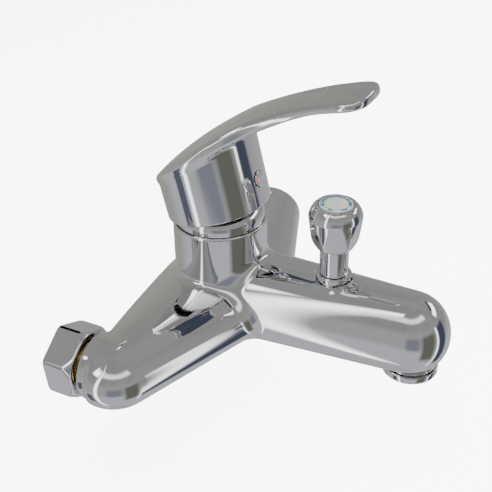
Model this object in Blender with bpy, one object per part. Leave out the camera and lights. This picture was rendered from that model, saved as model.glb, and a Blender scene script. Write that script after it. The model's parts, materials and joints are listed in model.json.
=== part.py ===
"""Wall mounted bath and shower mixer with a single lever, built as an assembly of separate pieces.

Frame: +Z up, +X to the right along the wall as seen from the room, -Y out into the room.
The origin is midway between the two inlets, in the plane of the union nuts' rear faces.
All sizes are in metres.
"""
import math

import bmesh
import bpy
from mathutils import Matrix, Vector

# ---------------------------------------------------------------- clearances
GAP = 0.0003                 # between two pieces that touch
RUN_GAP = 0.0004             # between a moving piece and what guides it
EMBED = 0.0020               # how far a shape to be united or cut runs past the face it meets

# ---------------------------------------------------------------- inlets and union nuts
INLET_SPACING = 0.150        # between the hot and cold centres
NUT_ACROSS_FLATS = 0.030
NUT_LENGTH = 0.0147
NUT_BORE_R = 0.0124          # mouth for a G3/4 thread
NUT_THROAT_R = 0.0106
NUT_THROAT_LENGTH = 0.0028
NUT_TURN = math.radians(25.0)
NUT_CHAMFER = 0.0016
FLANGE_LENGTH = 0.0024
NIPPLE_WALL = 0.0019
NIPPLE_SOCKET_DEPTH = 0.0160
WASHER_THICK = 0.0020
STRAINER_LENGTH = 0.0085
STRAINER_WALL = 0.0007
NECK_GAP = 0.0022            # the open ring between a nut and the body's boss

# ---------------------------------------------------------------- body casting
BOSS_R = 0.0154
ARM_END_Y = -0.0273
ARM_END_WIDE = 0.0191
ARM_END_HIGH = 0.0142
ARM_ROOT_X = 0.0018
ARM_ROOT_WIDE = 0.0328
ARM_ROOT_HIGH = 0.0173
ARM_BACK_Y = -0.0090          # how far back the body reaches behind the tower
TOWER_Y = -0.0402
TOWER_BASE_R = 0.0225
TOWER_TOP_R = 0.0221
TOWER_TOP_Z = 0.0423
SPOUT_ROOT_WIDE = 0.0235
SPOUT_ROOT_Z = 0.0035
SPOUT_ROOT_HIGH = 0.0215
SPOUT_END_Y = -0.1358
SPOUT_END_Z = 0.0052
SPOUT_END_WIDE = 0.0179
SPOUT_END_HIGH = 0.0196
WATERWAY_R = 0.0048
PORT_FLOOR_Z = -0.0040

# ---------------------------------------------------------------- shower outlet under the body
SHOWER_Y = -0.0280
SHOWER_BOSS_R = 0.0130
SHOWER_BOSS_Z = -0.0212
SHOWER_THREAD_R = 0.0103     # G1/2 male
SHOWER_THREAD_LENGTH = 0.0075
SHOWER_SOCKET_R = 0.0088
SHOWER_SOCKET_DEPTH = 0.0070
SHOWER_COLLAR_R = 0.0118
SHOWER_COLLAR_LENGTH = 0.0022
SHOWER_BORE_R = 0.0062
SHOWER_WASHER_THICK = 0.0015

# ---------------------------------------------------------------- cartridge, 35 mm size
CARTRIDGE_R = 0.0173
CARTRIDGE_FLOOR_Z = TOWER_TOP_Z - 0.0363
BASE_THICK = 0.0045
DISC_THICK = 0.0030
FIXED_DISC_R = 0.0135
MOVING_DISC_R = 0.0100
CARRIER_THICK = 0.0032
HOUSING_WALL = 0.0020
HOUSING_TOP_Z = TOWER_TOP_Z - 0.0073
NECK_R = 0.0105
NECK_TOP_Z = TOWER_TOP_Z - 0.0038
ROTOR_R = 0.0125
ROTOR_STEM_R = 0.0086
ROTOR_TOP_Z = TOWER_TOP_Z + 0.0032
PORT_R = 0.0030
PORT_SPREAD = 0.0075
SEAL_R = 0.0046
SEAL_THICK = 0.0016
PIVOT_Z = TOWER_TOP_Z - 0.0123
PIN_R = 0.0014
SPINDLE_SIDE = 0.0078
SPINDLE_TOP_Z = TOWER_TOP_Z + 0.0187
SPINDLE_FOOT_R = 0.0022
SPINDLE_FOOT_DROP = 0.0101
NUT_TOP_Z = TOWER_TOP_Z - 0.0011

# ---------------------------------------------------------------- dome ring and handle
DOME_R = 0.0210
DOME_TOP_Z = TOWER_TOP_Z + 0.0077
DOME_HOLE_R = 0.0135
DOME_WALL = 0.0016
CUP_TILT = math.radians(13.0)
CUP_R = 0.0244
CUP_WALL = 0.0016
CUP_RIM_Z = TOWER_TOP_Z + 0.0064
CUP_ROOF_Z = TOWER_TOP_Z + 0.0209
SOCKET_R = 0.0072
SOCKET_LOW_Z = TOWER_TOP_Z + 0.0129
LIFT_LIMIT = math.radians(22.0)
BLADE_THICK = 0.0050
BLADE_ROOT_THICK = 0.0074
BLADE_CUP_HALF = 0.0228
BLADE_WAIST_HALF = 0.0135
BLADE_TIP_HALF = 0.0140
BLADE_TIP_Y = -0.1122
SCREW_R = 0.0024
SCREW_LENGTH = 0.0080
BUTTON_R = 0.0036
BUTTON_THICK = 0.0022
BUTTON_Z = TOWER_TOP_Z + 0.0242
MARK_R = 0.0009

# ---------------------------------------------------------------- diverter
DIVERTER_Y = -0.0980
DIVERTER_BORE_R = 0.0078
BONNET_R = 0.0083
BONNET_TOP_Z = 0.0272
BONNET_COLLAR = 0.0022
SLEEVE_R = 0.0066
SLEEVE_LENGTH = 0.0130
STEM_R = 0.0024
KNOB_R = 0.0121
KNOB_FOOT_R = 0.0082
KNOB_BELLY_R = 0.0113
KNOB_FLAT_FOOT = 0.0083       # from the axis to a flat at the knob's foot
KNOB_HEAD = 0.0062            # height of the rounded head
KNOB_HEIGHT = 0.0222
KNOB_FLATS = 6
KNOB_TURN = math.radians(23.6)
PULL = 0.0080
INSERT_R = 0.0076
INSERT_DISC_R = 0.0055
INSERT_THICK = 0.0022
KNOB_SCREW_THICK = 0.0007
SEAT_Z = 0.0000
SEAT_THICK = 0.0024
SEAT_HOLE_R = 0.0046
VALVE_R = 0.0062
VALVE_THICK = 0.0022
SPRING_WIRE_R = 0.0004
SPRING_R = 0.0042
SPRING_TURNS = 4
SPRING_SOLID = 0.0038         # the coil's length when the knob is right up
GROOVE_HIGH = 0.0014         # of the stem's groove for the spring follower

# ---------------------------------------------------------------- aerator
AERATOR_Y = -0.1368
AERATOR_R = 0.0129
AERATOR_THREAD_R = 0.0110
AERATOR_BOTTOM_Z = -0.0149
AERATOR_LIP = 0.0042
AERATOR_DEPTH = 0.0095
AERATOR_BORE_R = 0.0094
SCREEN_THICK = 0.0006

# ---------------------------------------------------------------- facets
ROUND = 32
SMALL_ROUND = 16
PORT_ROUND = 12


# ================================================================ helpers
def clear_scene():
    """Remove every object that the starting scene holds."""
    for item in list(bpy.data.objects):
        bpy.data.objects.remove(item, do_unlink=True)


def material(name, colour, roughness, metallic):
    """Return the named material, made once."""
    found = bpy.data.materials.get(name)
    if found:
        return found
    made = bpy.data.materials.new(name)
    made.use_nodes = True
    shader = made.node_tree.nodes["Principled BSDF"]
    shader.inputs["Base Color"].default_value = (*colour, 1.0)
    shader.inputs["Roughness"].default_value = roughness
    shader.inputs["Metallic"].default_value = metallic
    made.diffuse_color = (*colour, 1.0)
    return made


def chrome():
    return material("chrome", (0.78, 0.79, 0.81), 0.05, 1.0)


def brass():
    return material("brass", (0.72, 0.55, 0.26), 0.28, 1.0)


def steel():
    return material("stainless_steel", (0.62, 0.62, 0.60), 0.25, 1.0)


def rubber():
    return material("rubber", (0.03, 0.03, 0.032), 0.70, 0.0)


def acetal():
    return material("acetal", (0.86, 0.86, 0.83), 0.40, 0.0)


def ceramic():
    return material("ceramic", (0.80, 0.80, 0.78), 0.15, 0.0)


def place(name, mesh, finish, location=(0.0, 0.0, 0.0), turn=(0.0, 0.0, 0.0), parent=None):
    """Make an object from a mesh and put it at a world place, under a parent if one is given."""
    made = bpy.data.objects.new(name, mesh)
    bpy.context.collection.objects.link(made)
    made.location = location
    made.rotation_euler = turn
    mesh.materials.append(finish)
    if parent:
        made.parent = parent
        made.matrix_parent_inverse = parent_place(parent).inverted()
    return made


def parent_place(parent):
    """Return where a parent stands in the world, from its own location and its parent's."""
    own = Matrix.Translation(parent.location) @ parent.rotation_euler.to_matrix().to_4x4()
    if parent.parent:
        return parent_place(parent.parent) @ parent.matrix_parent_inverse @ own
    return own


def axis_empty(name, location, parent=None):
    """Make an empty that stands on a joint's axis."""
    made = bpy.data.objects.new(name, None)
    bpy.context.collection.objects.link(made)
    made.location = location
    if parent:
        made.parent = parent
        made.matrix_parent_inverse = parent_place(parent).inverted()
    return made


def mesh_from(bm, name, sharp_degrees=35.0):
    """Close a bmesh into a mesh that is shaded smooth up to the sharp angle."""
    bmesh.ops.remove_doubles(bm, verts=bm.verts, dist=1e-7)
    bmesh.ops.recalc_face_normals(bm, faces=bm.faces)
    mesh = bpy.data.meshes.new(name)
    bm.to_mesh(mesh)
    bm.free()
    mesh.shade_smooth()
    mesh.set_sharp_from_angle(angle=math.radians(sharp_degrees))
    return mesh


def turned_mesh(name, outline, segments=SMALL_ROUND):
    """Turn a closed outline of (radius, height) points about Z."""
    bm = bmesh.new()
    corners = [bm.verts.new((radius, 0.0, height)) for radius, height in outline]
    edges = [bm.edges.new((corners[i - 1], corners[i])) for i in range(len(corners))]
    on_axis = [e for e in edges if all(v.co.x < 1e-9 for v in e.verts)]
    edges = [e for e in edges if e not in on_axis]
    for edge in on_axis:
        bm.edges.remove(edge)
    bmesh.ops.spin(bm, geom=corners + edges, cent=(0, 0, 0), axis=(0, 0, 1),
                   angle=math.tau, steps=segments, use_merge=True)
    return mesh_from(bm, name)


def turned(name, outline, finish, location=(0.0, 0.0, 0.0), turn=(0.0, 0.0, 0.0),
           parent=None, segments=SMALL_ROUND):
    """Make a turned piece."""
    return place(name, turned_mesh(name, outline, segments), finish, location, turn, parent)


def ring_outline(inner, outer, low, high):
    """Outline of a plain ring."""
    return [(outer, low), (outer, high), (inner, high), (inner, low)]


def disc_outline(radius, low, high):
    """Outline of a plain solid disc."""
    return [(0.0, low), (radius, low), (radius, high), (0.0, high)]


def round_bar(radius, start, end, segments=SMALL_ROUND):
    """Mesh of a plain cylinder between two points."""
    start, end = Vector(start), Vector(end)
    run = end - start
    bm = bmesh.new()
    bmesh.ops.create_cone(bm, cap_ends=True, segments=segments, radius1=radius, radius2=radius,
                          depth=run.length)
    turn = run.to_track_quat("Z", "Y").to_matrix().to_4x4()
    bmesh.ops.transform(bm, matrix=Matrix.Translation((start + end) / 2) @ turn, verts=bm.verts)
    return mesh_from(bm, "bar")


def block(low, high):
    """Mesh of a box between two corners."""
    low, high = Vector(low), Vector(high)
    bm = bmesh.new()
    bmesh.ops.create_cube(bm, size=1.0)
    bmesh.ops.scale(bm, vec=high - low, verts=bm.verts)
    bmesh.ops.translate(bm, vec=(low + high) / 2, verts=bm.verts)
    return mesh_from(bm, "block")


def guide(mesh, name):
    """Make a guide object, which only shapes another piece."""
    made = bpy.data.objects.new(name, mesh)
    bpy.context.collection.objects.link(made)
    made.hide_render = True
    made.display_type = "WIRE"
    return made


def combine(target, mesh, operation):
    """Add an exact Boolean to a target. The guide rides with the target, so both share one frame."""
    tool = guide(mesh, f"guide_{target.name}_{len(target.modifiers)}")
    step = target.modifiers.new(tool.name, "BOOLEAN")
    step.operation = operation
    step.solver = "EXACT"
    step.object = tool
    return tool


def cut(target, mesh):
    """Cut a world-placed shape out of a target."""
    return combine(target, mesh, "DIFFERENCE")


def add(target, mesh):
    """Unite a world-placed shape with a target."""
    return combine(target, mesh, "UNION")


def keep(target, mesh):
    """Keep only what lies inside a world-placed shape."""
    return combine(target, mesh, "INTERSECT")


def hull_mesh(lobes, segments=20, rings=12):
    """Skin a convex shape tightly over ellipsoids given as (centre, radii)."""
    bm = bmesh.new()
    for centre, radii in lobes:
        made = bmesh.ops.create_uvsphere(bm, u_segments=segments, v_segments=rings, radius=1.0)
        bmesh.ops.scale(bm, vec=radii, verts=made["verts"])
        bmesh.ops.translate(bm, vec=centre, verts=made["verts"])
    bmesh.ops.delete(bm, geom=bm.edges[:], context="EDGES_FACES")
    made = bmesh.ops.convex_hull(bm, input=bm.verts[:])
    inside = {v for v in made["geom_interior"] + made["geom_unused"] if isinstance(v, bmesh.types.BMVert)}
    bmesh.ops.delete(bm, geom=list(inside), context="VERTS")
    return mesh_from(bm, "hull")


def moved(mesh, offset):
    """Shift a mesh and return it."""
    mesh.transform(Matrix.Translation(offset))
    return mesh


# ================================================================ derived places
def inlet_x(side):
    return side * INLET_SPACING / 2


def nut_corner_r():
    return NUT_ACROSS_FLATS / 2 / math.cos(math.pi / 6)


def boss_face_y():
    return -(NUT_LENGTH + NECK_GAP)


def bonnet_low_z():
    return BONNET_TOP_Z - 0.0070


def stem_low_z():
    return SEAT_Z - GAP - PULL - VALVE_THICK - 0.0010


def knob_low_z():
    return BONNET_TOP_Z + GAP + SLEEVE_LENGTH


def tilted(offset_back, height):
    """World point in the plane x = 0, measured in the handle cup's own tilted frame."""
    back = Vector((0.0, math.cos(CUP_TILT), -math.sin(CUP_TILT)))
    up = Vector((0.0, math.sin(CUP_TILT), math.cos(CUP_TILT)))
    return Vector((0.0, TOWER_Y, CUP_RIM_Z)) + back * offset_back + up * height


# ================================================================ body
def body_casting():
    """Tower, two arms and spout as one casting, with its waterways."""
    finish = chrome()
    tower = turned("body_casting", disc_outline(TOWER_BASE_R, 0.0, TOWER_TOP_Z), finish,
                   location=(0.0, TOWER_Y, 0.0), segments=ROUND)
    taper_tower(tower)
    for side in (-1, 1):
        add(tower, arm_mesh(side))
        add(tower, round_bar(BOSS_R, (inlet_x(side), boss_face_y(), 0.0),
                             (inlet_x(side), ARM_END_Y - EMBED, 0.0), ROUND))
    add(tower, spout_mesh())
    add(tower, round_bar(SHOWER_BOSS_R, (0.0, SHOWER_Y, SHOWER_BOSS_Z), (0.0, SHOWER_Y, 0.0)))
    cut_cartridge_seat(tower)
    for side in (-1, 1):
        cut_inlet(tower, side)
    cut_outlets(tower)
    return tower


def taper_tower(tower):
    """Narrow the tower's top edge to its own radius."""
    top = [v for v in tower.data.vertices if v.co.z > TOWER_TOP_Z - EMBED]
    for vertex in top:
        vertex.co.x *= TOWER_TOP_R / TOWER_BASE_R
        vertex.co.y *= TOWER_TOP_R / TOWER_BASE_R


def arm_mesh(side):
    """One arm, a flattened horn that swells toward the tower."""
    end = ((inlet_x(side), ARM_END_Y, 0.0), (ARM_END_WIDE, ARM_END_WIDE, ARM_END_HIGH))
    root = ((side * ARM_ROOT_X, TOWER_Y, 0.0), (ARM_ROOT_WIDE, ARM_ROOT_WIDE, ARM_ROOT_HIGH))
    return trimmed_behind(hull_mesh([end, root]), side)


def trimmed_behind(mesh, side):
    """Trim an arm's back along a slanting plane, so that it clears the union nut."""
    near_nut = Vector((side * (INLET_SPACING / 2 - nut_corner_r()), boss_face_y() - GAP, 0.0))
    behind_tower = Vector((0.0, ARM_BACK_Y, 0.0))
    run = behind_tower - near_nut
    normal = Vector((-run.y, run.x, 0.0))
    normal *= math.copysign(1.0, normal.y)
    bm = bmesh.new()
    bm.from_mesh(mesh)
    made = bmesh.ops.bisect_plane(bm, geom=bm.verts[:] + bm.edges[:] + bm.faces[:], dist=1e-7,
                                  plane_co=near_nut, plane_no=normal, clear_outer=True)
    rim = [e for e in made["geom_cut"] if isinstance(e, bmesh.types.BMEdge)]
    bmesh.ops.contextual_create(bm, geom=rim)
    bmesh.ops.triangulate(bm, faces=bm.faces)
    return mesh_from(bm, "arm")


def spout_mesh():
    """The spout, a round-ended bar that rises a little toward its end."""
    root = ((0.0, TOWER_Y, SPOUT_ROOT_Z), (SPOUT_ROOT_WIDE, SPOUT_ROOT_WIDE, SPOUT_ROOT_HIGH))
    end = ((0.0, SPOUT_END_Y, SPOUT_END_Z), (SPOUT_END_WIDE, SPOUT_END_WIDE, SPOUT_END_HIGH))
    return hull_mesh([root, end])


def cut_cartridge_seat(body):
    """Bore the tower for the cartridge and drill its three ports."""
    cut(body, round_bar(CARTRIDGE_R + GAP, (0.0, TOWER_Y, CARTRIDGE_FLOOR_Z),
                        (0.0, TOWER_Y, TOWER_TOP_Z + EMBED), ROUND + 4))
    for x, y in port_places():
        cut(body, round_bar(PORT_R, (x, y, PORT_FLOOR_Z), (x, y, CARTRIDGE_FLOOR_Z + EMBED), PORT_ROUND))


def port_places():
    """The hot, cold and mixed ports' centres."""
    back = TOWER_Y + PORT_SPREAD * 0.6
    front = TOWER_Y - PORT_SPREAD
    return [(-PORT_SPREAD, back), (PORT_SPREAD, back), (0.0, front)]


def cut_inlet(body, side):
    """Socket for the nipple, and the waterway from it to the cartridge port."""
    x = inlet_x(side)
    socket_end = boss_face_y() - NIPPLE_SOCKET_DEPTH - GAP
    cut(body, round_bar(NUT_THROAT_R, (x, boss_face_y() + EMBED, 0.0), (x, socket_end, 0.0)))
    port_x, port_y = port_places()[0 if side < 0 else 1]
    cut(body, round_bar(WATERWAY_R, (x, socket_end + WATERWAY_R, 0.0),
                        (port_x, port_y, PORT_FLOOR_Z - GAP), PORT_ROUND))


def cut_outlets(body):
    """Waterways to the diverter, the aerator and the shower outlet, with their sockets."""
    mixed_x, mixed_y = port_places()[2]
    low = PORT_FLOOR_Z + GAP
    upper = SEAT_Z + SEAT_THICK + WATERWAY_R
    lower = SEAT_Z - WATERWAY_R - EMBED
    cut(body, round_bar(WATERWAY_R, (mixed_x, mixed_y + WATERWAY_R, low), (0.0, DIVERTER_Y, upper),
                        PORT_ROUND))
    cut(body, round_bar(DIVERTER_BORE_R, (0.0, DIVERTER_Y, stem_low_z() - 2 * GAP),
                        (0.0, DIVERTER_Y, BONNET_TOP_Z + EMBED)))
    cut(body, round_bar(BONNET_R + GAP, (0.0, DIVERTER_Y, BONNET_TOP_Z - BONNET_COLLAR - GAP),
                        (0.0, DIVERTER_Y, BONNET_TOP_Z + 2 * EMBED), ROUND))
    cut(body, round_bar(WATERWAY_R, (0.0, DIVERTER_Y, lower), (0.0, AERATOR_Y, lower + EMBED), PORT_ROUND))
    cut(body, round_bar(AERATOR_THREAD_R + GAP, (0.0, AERATOR_Y, AERATOR_BOTTOM_Z - EMBED),
                        (0.0, AERATOR_Y, aerator_seat_z() + AERATOR_DEPTH + GAP)))
    cut(body, round_bar(AERATOR_R + EMBED, (0.0, AERATOR_Y, SPOUT_END_Z - SPOUT_END_HIGH - 2 * EMBED),
                        (0.0, AERATOR_Y, aerator_seat_z()), ROUND + 2))
    cut(body, round_bar(WATERWAY_R * 0.75, (0.0, mixed_y, low), (0.0, SHOWER_Y, SHOWER_BOSS_Z / 2),
                        PORT_ROUND))
    cut(body, round_bar(SHOWER_SOCKET_R + GAP, (0.0, SHOWER_Y, SHOWER_BOSS_Z - EMBED),
                        (0.0, SHOWER_Y, SHOWER_BOSS_Z + SHOWER_SOCKET_DEPTH + GAP)))


def aerator_seat_z():
    """Height of the flat that the aerator's lip stops against."""
    return AERATOR_BOTTOM_Z + AERATOR_LIP + GAP


# ================================================================ inlets
def union_nut(side, name):
    """Hexagon union nut, open at the wall end, that turns on the nipple's flange."""
    axis = axis_empty(f"axis_{name}", (inlet_x(side), 0.0, 0.0))
    corner_r = nut_corner_r()
    bm = bmesh.new()
    bmesh.ops.create_cone(bm, cap_ends=True, segments=6, radius1=corner_r, radius2=corner_r,
                          depth=NUT_LENGTH)
    bmesh.ops.translate(bm, vec=(0.0, 0.0, NUT_LENGTH / 2), verts=bm.verts)
    bmesh.ops.rotate(bm, matrix=Matrix.Rotation(NUT_TURN, 3, "Z"), verts=bm.verts)
    nut = place(name, mesh_from(bm, name), chrome(), (inlet_x(side), 0.0, 0.0),
                (math.radians(90.0), 0.0, 0.0), axis)
    flat_r = NUT_ACROSS_FLATS / 2
    shell = [(flat_r - NUT_CHAMFER * 0.3, 0.0), (corner_r + GAP, NUT_CHAMFER),
             (corner_r + GAP, NUT_LENGTH - 2 * NUT_CHAMFER), (flat_r - NUT_CHAMFER, NUT_LENGTH)]
    shell = [(0.0, shell[0][1])] + shell + [(0.0, shell[-1][1])]
    upright(keep(nut, turned_mesh("barrel", shell, ROUND)), side)
    bore_end = NUT_LENGTH - NUT_THROAT_LENGTH
    upright(cut(nut, turned_mesh("mouth", disc_outline(NUT_BORE_R, -EMBED, bore_end), ROUND)), side)
    throat = turned_mesh("throat", disc_outline(NUT_THROAT_R, 0.0, NUT_LENGTH + EMBED), ROUND)
    upright(cut(nut, throat), side)
    return nut


def upright(tool, side):
    """Stand a guide on an inlet's axis, pointing out of the wall."""
    tool.location = (inlet_x(side), 0.0, 0.0)
    tool.rotation_euler = (math.radians(90.0), 0.0, 0.0)


def inlet_parts(side, label):
    """Nipple, washer and strainer of one inlet, turned along the inlet's axis."""
    place_at = (inlet_x(side), 0.0, 0.0)
    out = (math.radians(90.0), 0.0, 0.0)
    tube_r = NUT_THROAT_R - GAP
    bore_r = tube_r - NIPPLE_WALL
    flange_front = NUT_LENGTH - NUT_THROAT_LENGTH - GAP
    flange_back = flange_front - FLANGE_LENGTH
    tip = -boss_face_y() + NIPPLE_SOCKET_DEPTH
    flange_r = NUT_BORE_R - RUN_GAP
    turned(f"inlet_nipple_{label}",
           [(bore_r, flange_back), (flange_r, flange_back), (flange_r, flange_front),
            (tube_r, flange_front), (tube_r, tip), (bore_r, tip)], brass(), place_at, out)
    washer_front = flange_back - GAP
    turned(f"inlet_washer_{label}",
           ring_outline(bore_r + GAP, flange_r, washer_front - WASHER_THICK, washer_front),
           rubber(), place_at, out)
    cup_r = bore_r - GAP
    floor = flange_back + STRAINER_LENGTH
    turned(f"inlet_strainer_{label}",
           [(cup_r - STRAINER_WALL, flange_back), (cup_r, flange_back), (cup_r, floor - STRAINER_WALL),
            (cup_r * 0.55, floor + 2 * STRAINER_WALL), (0.0, floor + 2 * STRAINER_WALL),
            (0.0, floor + STRAINER_WALL), (cup_r * 0.55 - STRAINER_WALL, floor + STRAINER_WALL),
            (cup_r - STRAINER_WALL, floor - 2 * STRAINER_WALL)], steel(), place_at, out)


# ================================================================ cartridge
def cartridge_fixed():
    """The pieces of the cartridge that stay still in the tower."""
    at = (0.0, TOWER_Y, 0.0)
    low = CARTRIDGE_FLOOR_Z + GAP
    base = turned("cartridge_base", disc_outline(CARTRIDGE_R, low, low + BASE_THICK), acetal(), at,
                  segments=ROUND)
    for (x, y), label in zip(port_places(), ("hot", "cold", "mixed")):
        cut(base, round_bar(PORT_R, (x, y, low - EMBED), (x, y, low + BASE_THICK + EMBED), PORT_ROUND))
        cut(base, round_bar(SEAL_R + GAP, (x, y, low - EMBED), (x, y, low + SEAL_THICK + GAP)))
        turned(f"port_seal_{label}", ring_outline(PORT_R, SEAL_R, low, low + SEAL_THICK), rubber(),
               (x, y, 0.0))
    disc_low = low + BASE_THICK + GAP
    disc = turned("fixed_ceramic_disc", disc_outline(FIXED_DISC_R, disc_low, disc_low + DISC_THICK),
                  ceramic(), at)
    for x, y in port_places():
        cut(disc, round_bar(PORT_R * 0.9, (x, y, disc_low - EMBED),
                            (x, y, disc_low + DISC_THICK + EMBED), PORT_ROUND))
    inner_r = CARTRIDGE_R - HOUSING_WALL
    turned("cartridge_housing",
           [(inner_r, disc_low), (CARTRIDGE_R, disc_low), (CARTRIDGE_R, HOUSING_TOP_Z),
            (NECK_R + HOUSING_WALL / 2, HOUSING_TOP_Z), (NECK_R + HOUSING_WALL / 2, NECK_TOP_Z),
            (ROTOR_STEM_R + RUN_GAP, NECK_TOP_Z), (ROTOR_STEM_R + RUN_GAP, HOUSING_TOP_Z - HOUSING_WALL),
            (inner_r, HOUSING_TOP_Z - HOUSING_WALL)], acetal(), at, segments=ROUND)
    clamp_low = HOUSING_TOP_Z + GAP
    turned("cartridge_nut",
           ring_outline(NECK_R + HOUSING_WALL / 2 + GAP, CARTRIDGE_R, clamp_low, NUT_TOP_Z), brass(), at,
           segments=ROUND)
    return disc_low + DISC_THICK + GAP


def cartridge_moving(disc_low, yaw_axis, lift_axis):
    """Rotor, sliding disc and its carrier, pivot pin and lever spindle."""
    at = (0.0, TOWER_Y, 0.0)
    disc_high = disc_low + DISC_THICK
    carrier_low = disc_high + GAP
    carrier_high = carrier_low + CARRIER_THICK
    slide_axis = axis_empty("axis_disc_slide", (0.0, TOWER_Y, disc_low), yaw_axis)
    turned("moving_ceramic_disc", disc_outline(MOVING_DISC_R, disc_low, disc_high), ceramic(), at,
           parent=slide_axis)
    carrier = turned("disc_carrier", disc_outline(MOVING_DISC_R, carrier_low, carrier_high), acetal(), at,
                     parent=slide_axis)
    foot_hole = SPINDLE_FOOT_R + 2 * RUN_GAP
    cut(carrier, round_bar(foot_hole, (0.0, TOWER_Y, carrier_low + GAP),
                           (0.0, TOWER_Y, carrier_high + EMBED)))
    rotor_low = carrier_high + GAP
    rotor_high = HOUSING_TOP_Z - HOUSING_WALL - RUN_GAP
    rotor = turned("cartridge_rotor",
                   [(0.0, rotor_low), (ROTOR_R, rotor_low), (ROTOR_R, rotor_high),
                    (ROTOR_STEM_R, rotor_high), (ROTOR_STEM_R, ROTOR_TOP_Z), (0.0, ROTOR_TOP_Z)],
                   acetal(), at, parent=yaw_axis)
    cut(rotor, spindle_slot_mesh(rotor_low))
    cut(rotor, round_bar(PIN_R + GAP, (-ROTOR_R - EMBED, TOWER_Y, PIVOT_Z),
                         (ROTOR_R + EMBED, TOWER_Y, PIVOT_Z)))
    place("spindle_pivot_pin", round_bar(PIN_R, (-ROTOR_R, 0.0, 0.0), (ROTOR_R, 0.0, 0.0), 12), steel(),
          (0.0, TOWER_Y, PIVOT_Z), parent=yaw_axis)
    spindle(lift_axis)


def spindle_slot_mesh(low):
    """The rotor's slot, a fan as wide as the spindle's swing, narrow across the pin."""
    half = SPINDLE_SIDE / 2 + RUN_GAP
    bm = bmesh.new()
    bmesh.ops.create_cube(bm, size=1.0)
    bmesh.ops.scale(bm, vec=(2 * half, 1.0, 1.0), verts=bm.verts)
    top = ROTOR_TOP_Z + EMBED
    rise, drop = top - PIVOT_Z, PIVOT_Z - low + EMBED
    lean = math.tan(LIFT_LIMIT)
    slant = half / math.cos(LIFT_LIMIT)
    for vertex in bm.verts:
        high = vertex.co.z > 0
        if vertex.co.y > 0:
            reach = slant + rise * lean if high else half + RUN_GAP
        else:
            reach = -half - RUN_GAP if high else -(slant + drop * lean)
        vertex.co.y = TOWER_Y + reach
        vertex.co.z = top if high else low - EMBED
    return mesh_from(bm, "slot")


def spindle(lift_axis):
    """Square lever spindle on its pin, with the round foot that drives the disc."""
    half = SPINDLE_SIDE / 2
    bar = place("cartridge_spindle", block((-half, -half, -half), (half, half, SPINDLE_TOP_Z - PIVOT_Z)),
                steel(), (0.0, TOWER_Y, PIVOT_Z), parent=lift_axis)
    foot_low = PIVOT_Z - SPINDLE_FOOT_DROP - SPINDLE_FOOT_R / 2
    add(bar, round_bar(SPINDLE_FOOT_R, (0.0, TOWER_Y, foot_low), (0.0, TOWER_Y, PIVOT_Z), 16))
    cut(bar, round_bar(PIN_R + RUN_GAP, (-half - EMBED, TOWER_Y, PIVOT_Z),
                       (half + EMBED, TOWER_Y, PIVOT_Z)))
    return bar


def dome_ring():
    """Chromed dome that covers the cartridge nut and closes the tower's top."""
    low = TOWER_TOP_Z + GAP
    high = DOME_TOP_Z - low
    outer = [(DOME_R, low)]
    inner = []
    for step in range(6):
        angle = math.radians(18.0 * step)
        inward = high * 0.75 * (1 - math.cos(angle))
        rise = 0.25 + 0.75 * math.sin(angle)
        outer.append((DOME_R - inward, low + high * rise))
        inner.insert(0, (DOME_R - DOME_WALL - inward, low + (high - DOME_WALL) * rise))
    outline = outer + [(DOME_HOLE_R, DOME_TOP_Z), (DOME_HOLE_R, DOME_TOP_Z - DOME_WALL)] + inner
    outline.append((DOME_R - DOME_WALL, low))
    turned("dome_ring", outline, chrome(), (0.0, TOWER_Y, 0.0), segments=ROUND)


# ================================================================ handle
def blade_line():
    """Points (y, z, half width, thickness) of the blade's top line, from its rear end to its tip."""
    cup, waist, tip = BLADE_CUP_HALF, BLADE_WAIST_HALF, BLADE_TIP_HALF
    deep, thin = BLADE_ROOT_THICK, BLADE_THICK
    return [(-0.0150, 0.0632, cup * 0.60, thin * 0.7), (-0.0185, 0.0683, cup * 0.86, thin),
            (-0.0270, 0.0768, cup, deep), (-0.0400, 0.0868, cup, deep),
            (-0.0500, 0.0938, cup * 0.86, deep), (-0.0600, 0.0998, waist * 1.14, deep),
            (-0.0720, 0.1055, waist, deep * 0.9), (-0.0900, 0.1120, waist, thin),
            (BLADE_TIP_Y + 0.0080, 0.1158, tip, thin), (BLADE_TIP_Y + 0.0025, 0.1172, tip * 0.74, thin),
            (BLADE_TIP_Y, 0.1176, tip * 0.42, thin * 0.7)]


def blade_mesh():
    """Skin of the blade, lofted through flat rounded sections along its line."""
    bm = bmesh.new()
    loops = []
    line = blade_line()
    for index, (y, z, half, thick) in enumerate(line):
        before, after = line[max(index - 1, 0)], line[min(index + 1, len(line) - 1)]
        along = Vector((0.0, after[0] - before[0], after[1] - before[1])).normalized()
        up = Vector((1.0, 0.0, 0.0)).cross(along)
        up = -up if up.z < 0 else up
        loops.append(section_loop(bm, Vector((0.0, y, z)), up, half, thick))
    for one, two in zip(loops, loops[1:]):
        bmesh.ops.bridge_loops(bm, edges=one + two)
    for loop in (loops[0], loops[-1]):
        bmesh.ops.contextual_create(bm, geom=loop)
    return mesh_from(bm, "blade")


def section_loop(bm, centre, up, half, thick, points=14):
    """One section of the blade: crowned on top, rounder below. Returns its edges."""
    corners = []
    for step in range(points):
        angle = math.tau * step / points
        across = math.copysign(abs(math.cos(angle)) ** 0.75, math.cos(angle)) * half
        rise = math.sin(angle)
        height = (rise - 1.0) * thick / 2 if rise > 0 else -thick / 2 + rise * thick / 2
        height -= 0.05 * thick * (across / half) ** 2
        corners.append(bm.verts.new(centre + Vector((across, 0.0, 0.0)) + up * height))
    return [bm.edges.new((corners[i - 1], corners[i])) for i in range(points)]


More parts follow.
